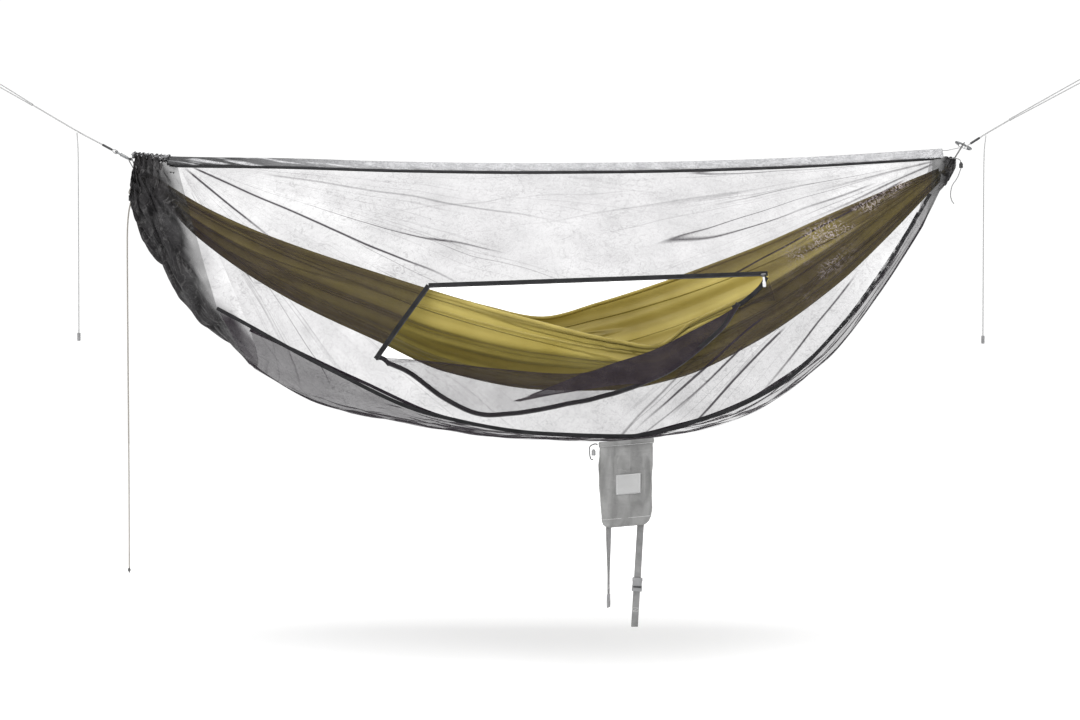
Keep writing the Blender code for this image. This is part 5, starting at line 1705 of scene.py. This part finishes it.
def sack_label():
    """The blank patch on the front, with a stitched border."""
    half_width, half_height = 0.036, 0.029
    middle = Vector((SACK_CENTRE_X + 0.004, SACK_Y - SACK_DEPTH / 2 - 0.0046, SACK_TOP_Z - 0.126))

    def on_patch(x, z, lift=0.0):
        return middle + Vector((x, 0.0022 * (x / half_width) ** 2 - lift, z + SACK_SLOPE * x))

    rows = [[on_patch(x, z) for x in evenly(-half_width, half_width, 17)]
            for z in evenly(half_height, -half_height, 13)]
    patch = thicken(loft("sack_label", rows, label_cloth), 0.0010)
    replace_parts(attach(patch, "sack"), "sack_patch")
    x, z = half_width - 0.003, half_height - 0.003
    border = [on_patch(*corner, 0.0006) for corner in ((-x, -z), (x, -z), (x, z), (-x, z), (-x, -z))]
    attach(cord_piece("sack_label_stitch", spread(border, 60), STITCH, stitch_thread),
            "sack")


def sack_cord():
    y = SACK_Y
    cord_lock("sack_cord_lock", (1.932, y, -1.186), 0.8, grey_plastic, "sack",
              "sack_lock_button")
    loop = [(1.9435, y - 0.003, -1.1545), (1.936, y - 0.004, -1.152), (1.921, y - 0.003, -1.160),
            (1.9205, y, -1.180), (1.924, y, -1.196), (1.9315, y, -1.1985)]
    piece = cord_piece("sack_draw_cord", route(loop, 30), 0.0018, cord_dark)
    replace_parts(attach(piece, "sack"), "sack_drawcord")


STRAP_HALF_WIDTH = 0.0100
STRAP_TUCK = 0.012              # how far a strap reaches up inside the sack's hem
LEFT_STRAP_TOP = (1.976, SACK_Y, -1.4035)
LEFT_STRAP_END = (1.976, SACK_Y, -1.590)
RIGHT_STRAP_TOP = (2.070, SACK_Y, -1.3960)
RIGHT_STRAP_END = (2.052, SACK_Y, -1.688)


def strap(name, node, body, top, bottom, start_turn, twist, stitch_at):
    """A strap, twisted along its length, with a stitched cross near its end."""
    top, bottom = Vector(top) + Vector((0.0, 0.0, STRAP_TUCK)), Vector(bottom)
    centres, across = [], []
    for i in range(61):
        t = i / 60
        turn = start_turn + (twist - start_turn) * smooth(t / 0.8)
        bow = Vector((0.0, 0.0012 * math.sin(t * 9.0), 0.0))
        centres.append(top.lerp(bottom, t) + bow)
        across.append(Vector((math.cos(turn), math.sin(turn), 0.0)) * STRAP_HALF_WIDTH)
    piece = band(name, centres, across, 0.0016, strap_weave, 6)
    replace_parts(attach(piece, body), node)
    at = int(60 * stitch_at)
    out = across[at].cross(Vector((0.0, 0.0, 1.0))).normalized() * 0.0010
    corners = []
    for s, t in ((-0.8, -0.005), (0.8, -0.005), (0.8, 0.005), (-0.8, 0.005), (-0.8, -0.005), (0.8, 0.005)):
        corners.append(centres[at] + across[at] * s + out + Vector((0.0, 0.0, t)))
    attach(cord_piece(name + "_stitch", spread(corners, 60), STITCH, stitch_thread), body)


def buckles():
    """The two halves of the side-release buckle, each on its strap."""
    x, y, z = LEFT_STRAP_END
    outline = [(-0.0110, 0.0), (0.0110, 0.0), (0.0110, -0.0150), (0.0125, -0.0230),
               (0.0112, -0.0330), (0.0096, -0.0400), (0.0080, -0.0400), (0.0078, -0.0210),
               (0.0022, -0.0210), (0.0022, -0.0360), (-0.0022, -0.0360), (-0.0022, -0.0210),
               (-0.0078, -0.0210), (-0.0080, -0.0400), (-0.0096, -0.0400), (-0.0112, -0.0330),
               (-0.0125, -0.0230), (-0.0110, -0.0150)]
    turn = Matrix.Translation((x, y, z - 0.0012)) @ Matrix.Rotation(math.radians(72), 4, "Z")
    turn = turn @ Matrix.Rotation(math.radians(90), 4, "X")
    male = moulded("buckle_prongs", outline, 0.0050, turn, grey_plastic, 0.0009)
    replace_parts(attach(male, "male_half"), "male_buckle")
    top, end = Vector(RIGHT_STRAP_TOP), Vector(RIGHT_STRAP_END)
    down = (end - top).normalized()
    centre = top + down * 0.168
    turn = Matrix.Translation(centre) @ Matrix.Rotation(math.atan2(-down.x, -down.z), 4, "Y")

    def ring(half_width, width_power, half_depth, depth_power, height):
        return [turn @ Vector((half_width * rounded(c, width_power),
                               half_depth * rounded(s, depth_power), height)) for c, s in circle(40)]

    half_length = 0.020
    outer = [ring(0.0150 + grow, 0.35, 0.0060 + grow * 0.5, 0.45, half_length * share)
             for share, grow in ((-1.0, -0.0010), (-0.94, 0.0), (-0.30, 0.0), (-0.10, -0.0012),
                                 (0.35, -0.0012), (0.55, 0.0), (0.94, 0.0), (1.0, -0.0010))]
    inner = [ring(0.0113, 0.2, 0.0022, 0.3, half_length * share) for share in (1.0, -1.0)]
    female = loft("buckle_socket", outer + inner + [outer[0]], grey_plastic, ring=True)
    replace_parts(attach(female, "female_half"), "female_buckle")
    bar = [turn @ Vector((x, -0.0068, -0.0065)) for x in (-0.0115, 0.0115)]
    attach(cord_piece("buckle_bar", bar, 0.0024, black_plastic), "female_half")


# ---------------------------------------------------------------- build
near = near_panel()
far = far_panel()
floor_cloth = bottom_panel()
bunch = left_bunch()
gather = right_bunch()
net_tapes()
strip = ridge_strip()
ridge_ruffle()
cloth, trims = hammock_cloth()
door_zips()
zip_ends()
flap_piece = flap()
door_slack()
slider_and_pull()
stuff_sack()
sack_label()
sack_cord()
strap("strap_left", "left_strap", "left_webbing", LEFT_STRAP_TOP, LEFT_STRAP_END, math.radians(40),
      math.radians(72), 0.91)
strap("strap_right", "right_strap", "right_webbing", RIGHT_STRAP_TOP, RIGHT_STRAP_END, 0.0, 0.0, 0.84)
buckles()

for name in ("left_cord_lock_spring", "right_cord_lock_spring", "sack_cord_lock_spring"):
    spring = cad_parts[name]
    spring.data.materials.clear()
    spring.data.materials.append(steel)


# ---------------------------------------------------------------- stage and light
STUDIO_FLOOR_Z = -1.84
WHITE_BESIDE = 1.06             # how bright the world looks past the part
WHITE_BEHIND = 4.6              # and through its mesh, where it outshines the white beside it
WORLD_LIGHT = 0.60


def studio():
    bm = bmesh.new()
    bmesh.ops.create_grid(bm, x_segments=1, y_segments=1, size=1.0)
    mesh = bpy.data.meshes.new("studio_floor")
    bm.to_mesh(mesh)
    bm.free()
    mesh.transform(Matrix.Diagonal((12.0, 12.0, 1.0, 1.0)))
    floor = bpy.data.objects.new("studio_floor", mesh)
    floor.location = (MIDDLE_X, 0.25, STUDIO_FLOOR_Z)
    mesh.materials.append(glowing_floor())
    bpy.context.scene.collection.objects.link(floor)

    world = bpy.data.worlds.new("studio")
    world.use_nodes = True
    tree = world.node_tree
    background = tree.nodes["Background"]
    background.inputs["Color"].default_value = (1.0, 1.0, 1.0, 1.0)
    path = tree.nodes.new("ShaderNodeLightPath")
    through = tree.nodes.new("ShaderNodeMapRange")
    through.inputs["To Min"].default_value = WHITE_BESIDE
    through.inputs["To Max"].default_value = WHITE_BEHIND
    level = tree.nodes.new("ShaderNodeMapRange")
    level.inputs["To Min"].default_value = WORLD_LIGHT
    tree.links.new(path.outputs["Transparent Depth"], through.inputs["Value"])
    tree.links.new(through.outputs["Result"], level.inputs["To Max"])
    tree.links.new(path.outputs["Is Camera Ray"], level.inputs["Value"])
    tree.links.new(level.outputs["Result"], background.inputs["Strength"])
    bpy.context.scene.world = world

    lamps = (("top", (1.8, -1.5, 2.3), 4.2, 160.0, (1.8, 0.0, -0.9)),
             ("front", (0.2, -4.6, 0.9), 2.4, 34.0, (1.9, 0.0, -0.7)),
             ("back", (3.4, 3.8, 0.6), 2.4, 35.0, (1.8, 0.0, -0.7)))
    for name, place, size, power, aim in lamps:
        data = bpy.data.lights.new(name, "AREA")
        data.shape = "SQUARE"
        data.size = size
        data.energy = power
        lamp = bpy.data.objects.new(name, data)
        lamp.location = place
        lamp.rotation_euler = (Vector(aim) - Vector(place)).to_track_quat("-Z", "Y").to_euler()
        bpy.context.scene.collection.objects.link(lamp)
    data = bpy.data.lights.new("inside", "AREA")        # stands for the light that fine mesh lets through
    data.shape = "RECTANGLE"
    data.size, data.size_y = 1.2, 0.10
    data.energy = 3.0
    lamp = bpy.data.objects.new("inside", data)
    lamp.location = (2.05, -0.02, -0.36)
    lamp.visible_camera = False
    bpy.context.scene.collection.objects.link(lamp)
    bpy.context.scene.view_settings.view_transform = "Standard"


studio()
